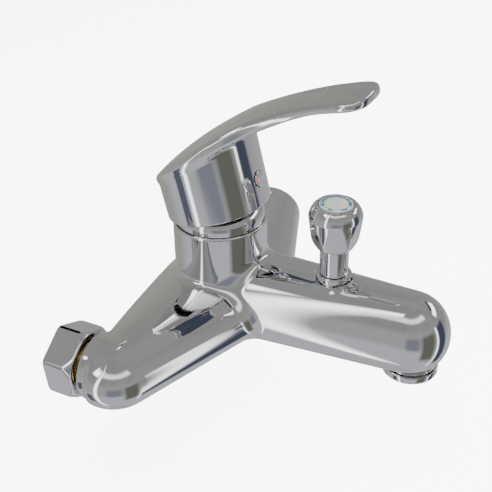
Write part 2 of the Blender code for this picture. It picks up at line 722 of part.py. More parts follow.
def cup_mesh():
    """The handle's cup: a tilted cylinder, trimmed along the rim and under the blade's top."""
    bm = bmesh.new()
    line = [(y, z) for y, z, _, _ in blade_line()]
    rim_back = tilted(CUP_R * 1.4, 0.0)
    rim_front = tilted(-CUP_R * 1.4, 0.0)
    shift = BLADE_THICK * 0.55
    roof = [(y, z - shift) for y, z in line if y > TOWER_Y - CUP_R * 1.05]
    slope = (roof[1][1] - roof[0][1]) / (roof[1][0] - roof[0][0])
    back_y = rim_back.y
    side = [(back_y, rim_back.z), (back_y, roof[0][1] + slope * (back_y - roof[0][0]))] + roof
    side += [(rim_front.y, roof[-1][1]), (rim_front.y, rim_front.z)]
    corners = [bm.verts.new((-CUP_R * 1.3, y, z)) for y, z in side]
    face = bm.faces.new(corners)
    made = bmesh.ops.extrude_face_region(bm, geom=[face])
    new = [v for v in made["geom"] if isinstance(v, bmesh.types.BMVert)]
    bmesh.ops.translate(bm, vec=(CUP_R * 2.6, 0.0, 0.0), verts=new)
    return mesh_from(bm, "cup_side")


def handle(lift_axis):
    """Lever handle: a leaning cup over the dome with the long curved blade on top of it."""
    low, high = tilted(0.0, 0.0), tilted(0.0, CUP_R * 2.2)
    barrel = round_bar(CUP_R, low, high, ROUND + 4)
    barrel.transform(Matrix.Translation((0.0, -TOWER_Y, -PIVOT_Z)))
    piece = place("handle", barrel, chrome(), (0.0, TOWER_Y, PIVOT_Z), parent=lift_axis)
    keep(piece, cup_mesh())
    add(piece, blade_mesh())
    roof = tilted(0.0, CUP_ROOF_Z - CUP_RIM_Z)
    cut(piece, round_bar(CUP_R - CUP_WALL, tilted(0.0, -EMBED), roof, ROUND))
    add(piece, round_bar(SOCKET_R, (0.0, TOWER_Y, SOCKET_LOW_Z),
                         (0.0, TOWER_Y, SPINDLE_TOP_Z + 2 * EMBED), SMALL_ROUND + 4))
    half = SPINDLE_SIDE / 2 + GAP
    cut(piece, block((-half, TOWER_Y - half, SOCKET_LOW_Z - EMBED),
                     (half, TOWER_Y + half, SPINDLE_TOP_Z + GAP)))
    cut(piece, round_bar(SCREW_R + GAP, *screw_line()))
    cut(piece, button_bar(BUTTON_R + GAP, -BUTTON_THICK + GAP, EMBED))
    return piece


def button_face_y():
    """Front face of the cup at the height of the index button."""
    rise = BUTTON_Z - CUP_RIM_Z
    return TOWER_Y - CUP_R / math.cos(CUP_TILT) + rise * math.tan(CUP_TILT)


def button_bar(radius, inward, outward, shift=0.0):
    """Cylinder on the index button's axis, square to the cup's wall."""
    out = Vector((0.0, -math.cos(CUP_TILT), math.sin(CUP_TILT)))
    face = Vector((shift, button_face_y(), BUTTON_Z))
    return round_bar(radius, face + out * inward, face + out * outward)


def handle_trim(lift_axis):
    """Grub screw, index button and its two colour marks."""
    place_at = (0.0, TOWER_Y, PIVOT_Z)
    offset = (0.0, -TOWER_Y, -PIVOT_Z)
    button = place("index_button", moved(button_bar(BUTTON_R, -BUTTON_THICK + 2 * GAP, 0.0006), offset),
                   chrome(), place_at, parent=lift_axis)
    colours = (("index_red_mark", -1, (0.60, 0.05, 0.04)), ("index_blue_mark", 1, (0.05, 0.16, 0.50)))
    for name, side, colour in colours:
        shift = side * BUTTON_R * 0.48
        cut(button, button_bar(MARK_R + GAP, 0.0, 0.0006 + EMBED, shift))
        place(name, moved(button_bar(MARK_R, GAP, 0.0007, shift), offset),
              material(name, colour, 0.30, 0.0), place_at, parent=lift_axis)
    return button


def screw_line():
    """Start and end of the set screw's hole, which slants up to the back of the index button."""
    start = Vector((0.0, TOWER_Y - SPINDLE_SIDE / 2 - GAP, SPINDLE_TOP_Z - SCREW_R - 3 * GAP))
    end = Vector((0.0, button_face_y() - 2 * EMBED, BUTTON_Z))
    return start, end


def grub_screw(lift_axis):
    """Set screw that clamps the handle to the spindle, behind the index button."""
    start, end = screw_line()
    run = (end - start).normalized()
    low = start + run * (GAP + SCREW_R * run.z) / -run.y
    bar = moved(round_bar(SCREW_R, low, low + run * SCREW_LENGTH), (0.0, -TOWER_Y, -PIVOT_Z))
    place("handle_screw", bar, steel(), (0.0, TOWER_Y, PIVOT_Z), parent=lift_axis)


# ================================================================ diverter
def diverter_fixed():
    """Bonnet and valve seat."""
    at = (0.0, DIVERTER_Y, 0.0)
    low = bonnet_low_z()
    thread_r = DIVERTER_BORE_R - GAP
    bore = STEM_R + RUN_GAP
    collar_low = BONNET_TOP_Z - BONNET_COLLAR
    turned("diverter_bonnet",
           [(bore, low), (thread_r, low), (thread_r, collar_low), (BONNET_R, collar_low),
            (BONNET_R, BONNET_TOP_Z - 0.0005), (BONNET_R - 0.0005, BONNET_TOP_Z), (bore, BONNET_TOP_Z)],
           chrome(), at, segments=ROUND)
    turned("diverter_seat", ring_outline(SEAT_HOLE_R, thread_r, SEAT_Z, SEAT_Z + SEAT_THICK), brass(), at)


def diverter_moving(slide_axis, spin_axis):
    """Stem, valve, spring and its follower, knob with its insert and screw."""
    at = (0.0, DIVERTER_Y, 0.0)
    valve_high = SEAT_Z - GAP - PULL
    knob_low = knob_low_z()
    stem_top = knob_low + KNOB_HEIGHT * 0.55
    groove_low = bonnet_low_z() - PULL - SPRING_SOLID - GROOVE_HIGH
    stem_low = stem_low_z()
    neck_r = STEM_R * 0.7
    turned("diverter_stem",
           [(0.0, stem_low), (STEM_R, stem_low), (STEM_R, stem_low + 0.0008 - GAP),
            (neck_r, stem_low + 0.0008 - GAP), (neck_r, valve_high + GAP), (STEM_R, valve_high + GAP),
            (STEM_R, groove_low), (neck_r, groove_low), (neck_r, groove_low + GROOVE_HIGH),
            (STEM_R, groove_low + GROOVE_HIGH), (STEM_R, stem_top), (0.0, stem_top)], brass(), at,
           parent=spin_axis)
    turned("diverter_valve_washer",
           ring_outline(neck_r + GAP, VALVE_R, valve_high - VALVE_THICK, valve_high), rubber(), at,
           parent=spin_axis)
    follower_low, follower_high = groove_low + GAP, groove_low + GROOVE_HIGH - GAP
    turned("spring_follower", ring_outline(neck_r + GAP, SPRING_R + 0.0010, follower_low, follower_high),
           steel(), at, parent=slide_axis)
    spring(follower_high + GAP, bonnet_low_z() - GAP, slide_axis)
    diverter_knob(knob_low, stem_top, spin_axis)


def spring(low, high, parent):
    """Coil spring between the follower and the bonnet, which closes the shower way by itself."""
    points = SPRING_TURNS * 10
    curve = bpy.data.curves.new("diverter_spring", "CURVE")
    curve.dimensions = "3D"
    curve.bevel_depth = SPRING_WIRE_R
    curve.bevel_resolution = 1
    curve.use_fill_caps = True
    coil = curve.splines.new("POLY")
    coil.points.add(points)
    rise = high - low - 2 * SPRING_WIRE_R - 2 * GAP
    for step in range(points + 1):
        share = step / points
        angle = math.tau * SPRING_TURNS * share
        height = SPRING_WIRE_R + GAP + rise * share
        coil.points[step].co = (SPRING_R * math.cos(angle), SPRING_R * math.sin(angle), height, 1.0)
    made = bpy.data.objects.new("diverter_spring", curve)
    bpy.context.collection.objects.link(made)
    curve.materials.append(steel())
    made.location = (0.0, DIVERTER_Y, low)
    made.parent = parent
    made.matrix_parent_inverse = parent_place(parent).inverted()
    return made


def diverter_knob(low, stem_top, spin_axis):
    """Pull knob with flats that fade into its round head, and its sleeve."""
    at = (0.0, DIVERTER_Y, 0.0)
    high = low + KNOB_HEIGHT
    sleeve_low = low - SLEEVE_LENGTH
    recess = high - INSERT_THICK - GAP
    bore_r = STEM_R + GAP
    outline = [(0.0, recess), (0.0, stem_top + GAP), (bore_r, stem_top + GAP), (bore_r, sleeve_low),
               (SLEEVE_R, sleeve_low), (SLEEVE_R, low), (KNOB_FOOT_R, low + KNOB_HEIGHT * 0.03),
               (KNOB_BELLY_R, low + KNOB_HEIGHT * 0.20), (KNOB_R, high - KNOB_HEAD)]
    for degrees in (20, 40, 60, 80):
        angle = math.radians(degrees)
        outline.append((KNOB_R - (KNOB_R - INSERT_R) * 0.86 * (1 - math.cos(angle)),
                        high - KNOB_HEAD + KNOB_HEAD * 0.97 * math.sin(angle)))
    outline += [(INSERT_R + GAP + 0.0002, high), (INSERT_R + GAP, high - 0.0003), (INSERT_R + GAP, recess)]
    knob = turned("diverter_knob", outline, chrome(), at, parent=spin_axis, segments=ROUND)
    for index in range(KNOB_FLATS):
        cut(knob, knob_flat_mesh(index, low))
    ring_low = recess + GAP
    screw_high = ring_low + KNOB_SCREW_THICK
    turned("knob_screw", disc_outline(STEM_R * 1.3, ring_low, screw_high), steel(), at, parent=spin_axis)
    turned("knob_insert_ring", ring_outline(INSERT_DISC_R + GAP, INSERT_R, ring_low, high),
           material("printed_ring", (0.10, 0.16, 0.30), 0.15, 0.0), at, parent=spin_axis, segments=ROUND)
    turned("knob_insert_disc", disc_outline(INSERT_DISC_R, screw_high + GAP, high + 0.0004),
           material("insert_disc", (0.72, 0.78, 0.72), 0.12, 0.0), at, parent=spin_axis, segments=ROUND)


def knob_flat_mesh(index, low):
    """One flat of the knob: a block that leans out until it clears the knob's head."""
    straight = KNOB_HEIGHT - KNOB_HEAD
    lean = math.atan2(KNOB_R - KNOB_FLAT_FOOT, straight)
    tool = block((KNOB_FLAT_FOOT, -KNOB_R, -2 * EMBED), (KNOB_R * 2, KNOB_R, straight * 1.3))
    tool.transform(Matrix.Rotation(lean, 4, "Y"))
    tool.transform(Matrix.Rotation(KNOB_TURN + math.tau * index / KNOB_FLATS, 4, "Z"))
    return moved(tool, (0.0, DIVERTER_Y, low))


# ================================================================ aerator and shower outlet
def aerator():
    """Aerator housing with its washer, flow insert and screen."""
    at = (0.0, AERATOR_Y, 0.0)
    lip_top = AERATOR_BOTTOM_Z + AERATOR_LIP
    top = lip_top + AERATOR_DEPTH * 0.7
    turned("aerator_housing",
           [(AERATOR_BORE_R, AERATOR_BOTTOM_Z), (AERATOR_R - 0.0012, AERATOR_BOTTOM_Z),
            (AERATOR_R, AERATOR_BOTTOM_Z + 0.0012), (AERATOR_R, lip_top), (AERATOR_THREAD_R, lip_top),
            (AERATOR_THREAD_R, top), (AERATOR_BORE_R, top)], chrome(), at, segments=ROUND)
    insert_low = AERATOR_BOTTOM_Z + 0.0030
    insert_r = AERATOR_BORE_R - GAP
    insert = turned("aerator_insert", disc_outline(insert_r, insert_low, top), acetal(), at)
    hole_r = insert_r * 0.20
    for index in range(6):
        angle = math.tau * index / 6
        x = insert_r * 0.58 * math.cos(angle)
        y = AERATOR_Y + insert_r * 0.58 * math.sin(angle)
        cut(insert, round_bar(hole_r, (x, y, insert_low - EMBED), (x, y, top + EMBED), 10))
    screen_high = insert_low - GAP
    turned("aerator_screen", disc_outline(insert_r, screen_high - SCREEN_THICK, screen_high), steel(), at)
    washer_low = top + GAP
    turned("aerator_washer",
           ring_outline(AERATOR_BORE_R - 0.0015, AERATOR_THREAD_R, washer_low, washer_low + 0.0016),
           rubber(), at)


def shower_outlet():
    """Threaded hose nipple under the body, and its washer."""
    at = (0.0, SHOWER_Y, 0.0)
    washer_high = SHOWER_BOSS_Z - GAP
    washer_low = washer_high - SHOWER_WASHER_THICK
    turned("shower_nipple_washer",
           ring_outline(SHOWER_SOCKET_R + GAP, SHOWER_COLLAR_R, washer_low, washer_high), rubber(), at)
    collar_high = washer_low - GAP
    collar_low = collar_high - SHOWER_COLLAR_LENGTH
    thread_low = collar_low - SHOWER_THREAD_LENGTH
    top = SHOWER_BOSS_Z + SHOWER_SOCKET_DEPTH
    lead = 0.0008
    turned("shower_nipple",
           [(SHOWER_BORE_R, thread_low), (SHOWER_THREAD_R - lead, thread_low),
            (SHOWER_THREAD_R, thread_low + lead), (SHOWER_THREAD_R, collar_low),
            (SHOWER_COLLAR_R, collar_low), (SHOWER_COLLAR_R, collar_high),
            (SHOWER_SOCKET_R, collar_high), (SHOWER_SOCKET_R, top), (SHOWER_BORE_R, top)], chrome(), at,
           segments=ROUND)


def build():
    """Build the whole mixer."""
    clear_scene()
    body_casting()
    for side, label in ((-1, "left"), (1, "right")):
        union_nut(side, f"union_nut_{label}")
        inlet_parts(side, label)
    disc_low = cartridge_fixed()
    yaw_axis = axis_empty("axis_handle_yaw", (0.0, TOWER_Y, PIVOT_Z))
    lift_axis = axis_empty("axis_handle_lift", (0.0, TOWER_Y, PIVOT_Z), yaw_axis)
    cartridge_moving(disc_low, yaw_axis, lift_axis)
    dome_ring()
    handle(lift_axis)
    grub_screw(lift_axis)
    handle_trim(lift_axis)
    slide_axis = axis_empty("axis_diverter_pull", (0.0, DIVERTER_Y, 0.0))
    spin_axis = axis_empty("axis_diverter_spin", (0.0, DIVERTER_Y, 0.0), slide_axis)
    diverter_fixed()
    diverter_moving(slide_axis, spin_axis)
    aerator()
    shower_outlet()


build()
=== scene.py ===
"""Looks of a wall mounted bath mixer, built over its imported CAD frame.

The chromed castings are skinned from signed distance fields, so that their junctions blend as cast
and polished metal does. Turned pieces are spun from rounded outlines. Everything stands in the CAD
frame's own coordinates: +Z up, +X along the wall, -Y out into the room, in metres.
"""
from __future__ import annotations

import json
import logging
import math
from dataclasses import dataclass, field
from enum import Enum
from typing import Callable, Iterable, Sequence

import bmesh
import bpy
import numpy as np
from mathutils import Matrix, Vector

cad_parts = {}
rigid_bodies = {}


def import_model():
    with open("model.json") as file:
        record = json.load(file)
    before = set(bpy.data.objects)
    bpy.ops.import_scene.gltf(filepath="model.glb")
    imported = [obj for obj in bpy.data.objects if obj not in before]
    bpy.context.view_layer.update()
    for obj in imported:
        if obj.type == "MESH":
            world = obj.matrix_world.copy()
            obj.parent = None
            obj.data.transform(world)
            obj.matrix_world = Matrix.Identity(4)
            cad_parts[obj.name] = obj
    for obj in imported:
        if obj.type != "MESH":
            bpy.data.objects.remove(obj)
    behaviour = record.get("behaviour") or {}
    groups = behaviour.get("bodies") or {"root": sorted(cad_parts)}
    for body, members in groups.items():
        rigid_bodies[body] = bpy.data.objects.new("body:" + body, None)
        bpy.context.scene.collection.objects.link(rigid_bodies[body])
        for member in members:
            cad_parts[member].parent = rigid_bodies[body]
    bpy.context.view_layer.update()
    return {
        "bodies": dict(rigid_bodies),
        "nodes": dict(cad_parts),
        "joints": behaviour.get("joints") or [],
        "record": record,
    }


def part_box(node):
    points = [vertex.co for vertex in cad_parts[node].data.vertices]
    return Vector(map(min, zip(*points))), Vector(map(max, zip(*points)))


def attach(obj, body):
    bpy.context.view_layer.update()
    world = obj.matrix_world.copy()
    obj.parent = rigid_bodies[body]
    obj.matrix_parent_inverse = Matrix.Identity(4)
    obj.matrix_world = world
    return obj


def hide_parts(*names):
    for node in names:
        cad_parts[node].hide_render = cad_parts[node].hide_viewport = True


log = logging.getLogger("mixer")

Array = np.ndarray
Point = tuple[float, float, float]
Profile = list[tuple[float, float]]
Shape = Callable[[Array], Array]

GAP = 0.0003                 # between two pieces that touch
NECK_GAP = 0.0022            # the open ring between a union nut and the body's boss
CHUNK = 60000                # points that are measured against the blade at a time


class Slot(Enum):
    """Material slots of the record."""

    CHROME = "chrome"
    BRASS = "brass"
    STEEL = "stainless_steel"
    RUBBER = "rubber"
    ACETAL = "acetal"
    CERAMIC = "ceramic"
    INSERT = "insert_disc"
    PRINT = "printed_ring"
    RED = "red_enamel"
    BLUE = "blue_enamel"


# ================================================================ shader graph
class Socket:
    """A shader output that takes part in plain arithmetic."""

    def __init__(self, graph: "Graph", output: bpy.types.NodeSocket) -> None:
        """Wrap an output.

        Args:
            graph: The graph that the output belongs to.
            output: The output itself.
        """
        self.graph = graph
        self.output = output

    def math(self, operation: str, *others: "Socket | float") -> "Socket":
        """Return a maths node's result, with this socket as its first input."""
        return self.graph.math(operation, self, *others)

    def __add__(self, other: "Socket | float") -> "Socket":
        """Return self + other."""
        return self.math("ADD", other)

    def __radd__(self, other: float) -> "Socket":
        """Return other + self."""
        return self.graph.math("ADD", other, self)

    def __sub__(self, other: "Socket | float") -> "Socket":
        """Return self - other."""
        return self.math("SUBTRACT", other)

    def __rsub__(self, other: float) -> "Socket":
        """Return other - self."""
        return self.graph.math("SUBTRACT", other, self)

    def __mul__(self, other: "Socket | float") -> "Socket":
        """Return self * other."""
        return self.math("MULTIPLY", other)

    def __rmul__(self, other: float) -> "Socket":
        """Return other * self."""
        return self.graph.math("MULTIPLY", other, self)

    def __truediv__(self, other: "Socket | float") -> "Socket":
        """Return self / other."""
        return self.math("DIVIDE", other)

    def __rtruediv__(self, other: float) -> "Socket":
        """Return other / self."""
        return self.graph.math("DIVIDE", other, self)

    def step_up(self, edge: float, width: float) -> "Socket":
        """Return 0 below an edge and 1 above it, with a soft step.

        Args:
            edge: Middle of the step.
            width: Width of the step.

        Returns:
            The stepped value, from 0 to 1.
        """
        ramp = (self - (edge - width / 2)) / width
        return ramp.math("MAXIMUM", 0.0).math("MINIMUM", 1.0)


class Graph:
    """A material's node tree, with a Principled shader at its end."""

    def __init__(self, name: str) -> None:
        """Make the material.

        Args:
            name: The material's name.
        """
        self.material = bpy.data.materials.new(name)
        self.material.use_nodes = True
        self.tree = self.material.node_tree
        self.shader = self.tree.nodes["Principled BSDF"]

    def node(self, kind: str, settings: dict[str, object] | None = None,
             values: dict[str, object] | None = None) -> bpy.types.Node:
        """Add a node.

        Args:
            kind: The node's type.
            settings: Properties to set on the node.
            values: Input names or indices with constants or sockets.

        Returns:
            The new node.
        """
        made = self.tree.nodes.new(kind)
        for key, value in (settings or {}).items():
            setattr(made, key, value)
        for key, value in (values or {}).items():
            self.feed(made.inputs[key], value)
        return made

    def feed(self, target: bpy.types.NodeSocket, value: object) -> None:
        """Link a socket or set a constant on an input."""
        if isinstance(value, Socket):
            self.tree.links.new(value.output, target)
        else:
            target.default_value = value

    def math(self, operation: str, *inputs: Socket | float) -> Socket:
        """Add a maths node over sockets and numbers."""
        made = self.node("ShaderNodeMath", {"operation": operation}, dict(enumerate(inputs)))
        return Socket(self, made.outputs[0])

    def mix(self, share: Socket, one: Sequence[float] | Socket, two: Sequence[float] | Socket) -> Socket:
        """Mix two colours by a share from 0 to 1."""
        made = self.node("ShaderNodeMix", {"data_type": "RGBA"}, {0: share, 6: one, 7: two})
        return Socket(self, made.outputs[2])

    def place(self) -> Socket:
        """Return the object coordinates."""
        return Socket(self, self.node("ShaderNodeTexCoord").outputs["Object"])

    def axes(self) -> tuple[Socket, Socket, Socket]:
        """Return the object coordinates as three numbers."""
        made = self.node("ShaderNodeSeparateXYZ", None, {0: self.place()})
        return tuple(Socket(self, out) for out in made.outputs)

    def noise(self, scale: float, detail: float = 2.0) -> Socket:
        """Return a noise value around one half, with features of 1 / scale metres."""
        made = self.node("ShaderNodeTexNoise", None,
                         {"Vector": self.place(), "Scale": scale, "Detail": detail})
        return Socket(self, made.outputs[0])

    def bump(self, height: Socket, strength: float, distance: float) -> None:
        """Feed a height to the shader's normal."""
        made = self.node("ShaderNodeBump", None,
                         {"Strength": strength, "Distance": distance, "Height": height})
        self.feed(self.shader.inputs["Normal"], Socket(self, made.outputs[0]))

    def set(self, **values: object) -> None:
        """Set the shader's inputs, named with underscores for spaces."""
        for key, value in values.items():
            self.feed(self.shader.inputs[key.replace("_", " ")], value)


def rgb(red: float, green: float, blue: float) -> tuple[float, float, float, float]:
    """Return an opaque colour."""
    return (red, green, blue, 1.0)


# ================================================================ finishes
@dataclass(frozen=True)
class Metal:
    """A metal with faint stains in its colour and wear in its gloss."""

    name: str
    light: tuple[float, float, float, float]
    dark: tuple[float, float, float, float]
    rough: float
    wear: float
    grain: float = 60.0

    def build(self) -> bpy.types.Material:
        """Return the material."""
        graph = Graph(self.name)
        cloud = graph.noise(self.grain)
        fine = graph.noise(self.grain * 14.0, 4.0)
        colour = graph.mix(cloud.step_up(0.5, 0.5), self.light, self.dark)
        gloss = self.rough + fine.step_up(0.62, 0.3) * self.wear
        graph.set(Base_Color=colour, Roughness=gloss, Metallic=1.0)
        return graph.material


@dataclass(frozen=True)
class Moulded:
    """A plastic, rubber, ceramic or enamel with mild mottling and surface grain."""

    name: str
    light: tuple[float, float, float, float]
    dark: tuple[float, float, float, float]
    rough: float
    spread: float
    coat: float = 0.0

    def build(self) -> bpy.types.Material:
        """Return the material."""
        graph = Graph(self.name)
        cloud = graph.noise(220.0)
        fine = graph.noise(2600.0, 3.0)
        colour = graph.mix(cloud.step_up(0.5, 0.6), self.light, self.dark)
        gloss = self.rough + fine.step_up(0.5, 0.6) * self.spread
        graph.set(Base_Color=colour, Roughness=gloss, Metallic=0.0, Coat_Weight=self.coat)
        graph.bump(fine, 0.2, 0.00003)
        return graph.material


@dataclass(frozen=True)
class PrintedRing:
    """A clear ring over a plain print: a green band, then a blue one in broken patches."""

    name: str
    centre: tuple[float, float]
    inner: float
    outer: float

    def build(self) -> bpy.types.Material:
        """Return the material."""
        graph = Graph(self.name)
        x, y, _ = graph.axes()
        across, along = x - self.centre[0], y - self.centre[1]
        radius = (across * across + along * along).math("SQRT")
        share = (radius - self.inner) / (self.outer - self.inner)
        patch = graph.noise(420.0, 1.0).step_up(0.52, 0.06)
        pale, blue, green = rgb(0.22, 0.29, 0.25), rgb(0.03, 0.07, 0.19), rgb(0.05, 0.13, 0.07)
        ink = graph.mix(patch, blue, pale)
        rim = graph.mix(share.step_up(0.70, 0.12), ink, pale)
        hub = graph.mix(share.step_up(0.22, 0.10), green, rim)
        graph.set(Base_Color=hub, Roughness=0.12, Coat_Weight=0.6)
        return graph.material


@dataclass
class Finishes:
    """Every finish of the object, by slot."""

    knob_centre: tuple[float, float]
    ring: tuple[float, float]
    made: dict[Slot, bpy.types.Material] = field(default_factory=dict)

    def build(self) -> None:
        """Make all the materials."""
        recipes = {
            Slot.CHROME: Metal("chrome", rgb(0.80, 0.80, 0.81), rgb(0.76, 0.765, 0.78), 0.035, 0.02),
            Slot.BRASS: Metal("brass", rgb(0.72, 0.52, 0.24), rgb(0.50, 0.34, 0.14), 0.22, 0.12),
            Slot.STEEL: Metal("stainless_steel", rgb(0.62, 0.62, 0.60), rgb(0.50, 0.50, 0.49), 0.24, 0.10),
            Slot.RUBBER: Moulded("rubber", rgb(0.030, 0.030, 0.032), rgb(0.018, 0.018, 0.02), 0.62, 0.2),
            Slot.ACETAL: Moulded("acetal", rgb(0.84, 0.84, 0.81), rgb(0.78, 0.78, 0.74), 0.38, 0.1),
            Slot.CERAMIC: Moulded("ceramic", rgb(0.82, 0.82, 0.80), rgb(0.76, 0.76, 0.73), 0.14, 0.05),
            Slot.INSERT: Moulded("insert_disc", rgb(0.26, 0.30, 0.24), rgb(0.21, 0.25, 0.20),
                                 0.16, 0.04, 0.3),
            Slot.PRINT: PrintedRing("printed_ring", self.knob_centre, *self.ring),
            Slot.RED: Moulded("red_enamel", rgb(0.60, 0.04, 0.03), rgb(0.42, 0.03, 0.03), 0.25, 0.1, 0.5),
            Slot.BLUE: Moulded("blue_enamel", rgb(0.04, 0.14, 0.50), rgb(0.03, 0.09, 0.36), 0.25, 0.1, 0.5),
        }
        for slot, recipe in recipes.items():
            self.made[slot] = recipe.build()

    def dress(self, piece: bpy.types.Object, slot: Slot) -> None:
        """Give a piece its finish.

        Args:
            piece: The object to dress.
            slot: The material slot that it takes.
        """
        piece.data.materials.clear()
        piece.data.materials.append(self.made[slot])


# ================================================================ distance fields
def smooth_min(one: Array, two: Array, blend: float) -> Array:
    """Return the union of two fields, with a fillet about as wide as blend."""
    share = np.clip(0.5 + 0.5 * (two - one) / blend, 0.0, 1.0)
    return two * (1.0 - share) + one * share - blend * share * (1.0 - share)


def smooth_max(one: Array, two: Array, blend: float) -> Array:
    """Return the overlap of two fields, with an edge rounded about as wide as blend."""
    return -smooth_min(-one, -two, blend)


def bar(points: Array, start: Point, end: Point, radius: float, edge: float = 0.0004) -> Array:
    """Return the field of a plain cylinder between two points."""
    begin, finish = np.array(start), np.array(end)
    run = finish - begin
    length = float(np.linalg.norm(run))
    axis = run / length
    offset = points - begin
    along = offset @ axis
    radial = np.linalg.norm(offset - along[:, None] * axis, axis=1)
    return smooth_max(radial - radius, np.abs(along - length / 2) - length / 2, edge)


def half_space(points: Array, through: Sequence[float], normal: Sequence[float]) -> Array:
    """Return the signed distance from a plane, positive on the normal's side."""
    unit = np.array(normal, float) / np.linalg.norm(normal)
    return (points - np.array(through)) @ unit


@dataclass(frozen=True)
class Lobe:
    """One rounded end of a horn: its centre, half width in plan and half height."""

    centre: Point
    wide: float
    high: float


def horn(points: Array, one: Lobe, two: Lobe) -> Array:
    """Return the field of a flattened bar that tapers between two rounded ends."""
    begin, end = np.array(one.centre), np.array(two.centre)
    run = end - begin
    share = np.clip(((points - begin) @ run) / (run @ run), 0.0, 1.0)
    wide = one.wide + (two.wide - one.wide) * share
    high = one.high + (two.high - one.high) * share
    plan = points - begin
    plan[:, 2] = (points[:, 2] - begin[2] - run[2] * share) * wide / high
    length = float(np.hypot(run[0], run[1]))
    axis = np.array([run[0], run[1], 0.0]) / length
    along = plan @ axis
    radial = np.linalg.norm(plan - along[:, None] * axis, axis=1)
    taper = (one.wide - two.wide) / length
    slant = math.sqrt(1.0 - taper * taper)
    side = along * slant - radial * taper
    middle = radial * slant + along * taper - one.wide
    start = np.hypot(radial, along) - one.wide
    finish = np.hypot(radial, along - length) - two.wide
    return np.where(side < 0.0, start, np.where(side > slant * length, finish, middle))


class Skin:
    """Turns a distance field into a smooth quad mesh."""

    def __init__(self, low: Sequence[float], high: Sequence[float], step: float) -> None:
        """Set the box to search and the size of the cells.

        Args:
            low: Lowest corner of the box.
            high: Highest corner of the box.
            step: Cell size.
        """
        self.step = step * 1.0
        self.low = np.array(low, float) - 2.5 * self.step
        self.blocks = np.ceil((np.array(high) - self.low + 2.5 * self.step) / self.step / 4).astype(int)

    def sample(self, shape: Shape) -> Array:
        """Return the field on the grid, worked out finely only near the surface."""
        nx, ny, nz = self.blocks
        grid = np.stack(np.meshgrid(np.arange(nx), np.arange(ny), np.arange(nz), indexing="ij"), -1)
        centres = self.low + self.step * (grid.reshape(-1, 3) * 4 + 1.5)
        coarse = shape(centres).reshape(nx, ny, nz)
        near = np.abs(coarse) < 8.0 * self.step
        values = coarse.repeat(4, 0).repeat(4, 1).repeat(4, 2)
        wanted = np.argwhere(near.repeat(4, 0).repeat(4, 1).repeat(4, 2))
        values[tuple(wanted.T)] = shape(self.low + self.step * wanted)
        return values

    def crossings(self, values: Array) -> tuple[Array, Array]:
        """Return each crossed cell's vertex and a table from cell to vertex number."""
        inside = values < 0.0
        corners = [(i, j, k) for i in (0, 1) for j in (0, 1) for k in (0, 1)]
        count = np.array(values.shape) - 1
        view = [inside[i:i + count[0], j:j + count[1], k:k + count[2]] for i, j, k in corners]
        total = sum(v.astype(np.int8) for v in view)
        cells = np.argwhere((total > 0) & (total < 8))
        at = [values[tuple((cells + corner).T)] for corner in corners]
        summed = np.zeros((len(cells), 3))
        hits = np.zeros(len(cells))
        for one, first in enumerate(corners):
            for two, second in enumerate(corners):
                if two > one and sum(abs(a - b) for a, b in zip(first, second)) == 1:
                    crossed = (at[one] < 0.0) != (at[two] < 0.0)
                    gap = np.where(crossed, at[one] - at[two], 1.0)
                    share = np.where(crossed, at[one] / gap, 0.0)
                    place = np.array(first) + share[:, None] * (np.array(second) - np.array(first))
                    summed += place * crossed[:, None]
                    hits += crossed
        table = np.full(count, -1, int)
        table[tuple(cells.T)] = np.arange(len(cells))
        return self.low + self.step * (cells + summed / hits[:, None]), table

    def quads(self, values: Array, table: Array) -> Array:
        """Return the faces, one for each grid edge that the surface crosses."""
        inside = values < 0.0
        faces = []
        for axis in range(3):
            u, v = (axis + 1) % 3, (axis + 2) % 3
            first = np.take(inside, range(inside.shape[axis] - 1), axis)
            second = np.take(inside, range(1, inside.shape[axis]), axis)
            edges = np.argwhere(first != second)
            edges = edges[(edges[:, u] > 0) & (edges[:, v] > 0)]
            edges = edges[(edges[:, u] < table.shape[u]) & (edges[:, v] < table.shape[v])]
            leaving = first[tuple(edges.T)]
            ring = []
            for du, dv in ((-1, -1), (0, -1), (0, 0), (-1, 0)):
                cell = edges.copy()
                cell[:, u] += du
                cell[:, v] += dv
                ring.append(table[tuple(cell.T)])
            loop = np.stack(ring, 1)
            loop[~leaving] = loop[~leaving][:, ::-1]
            faces.append(loop)
        return np.concatenate(faces)

    @staticmethod
    def gradient(shape: Shape, points: Array) -> Array:
        """Return the field's gradient by central differences."""
        reach = 2e-5
        columns = []
        for axis in range(3):
            shift = np.zeros(3)
            shift[axis] = reach
            columns.append((shape(points + shift) - shape(points - shift)) / (2 * reach))
        return np.stack(columns, 1)

    def build(self, name: str, shape: Shape) -> bpy.types.Mesh:
        """Skin the field.

        Args:
            name: The mesh's name.
            shape: The distance field.

        Returns:
            A closed mesh whose normals follow the field.
        """
        values = self.sample(shape)
        points, table = self.crossings(values)
        faces = self.quads(values, table)
        for _ in range(2):
            slope = self.gradient(shape, points)
            size = np.maximum((slope * slope).sum(1), 0.05)
            move = -(shape(points) / size)[:, None] * slope
            reach = np.linalg.norm(move, axis=1, keepdims=True)
            points = points + move * np.minimum(1.0, 0.45 * self.step / np.maximum(reach, 1e-12))
        slope = self.gradient(shape, points)
        normals = slope / np.maximum(np.linalg.norm(slope, axis=1, keepdims=True), 1e-9)
        mesh = bpy.data.meshes.new(name)
        mesh.from_pydata(points.tolist(), [], faces.tolist())
        mesh.validate()
        mesh.shade_smooth()
        mesh.normals_split_custom_set_from_vertices(normals.tolist())
        log.info("%s: %d vertices, %d faces", name, len(points), len(faces))
        return mesh


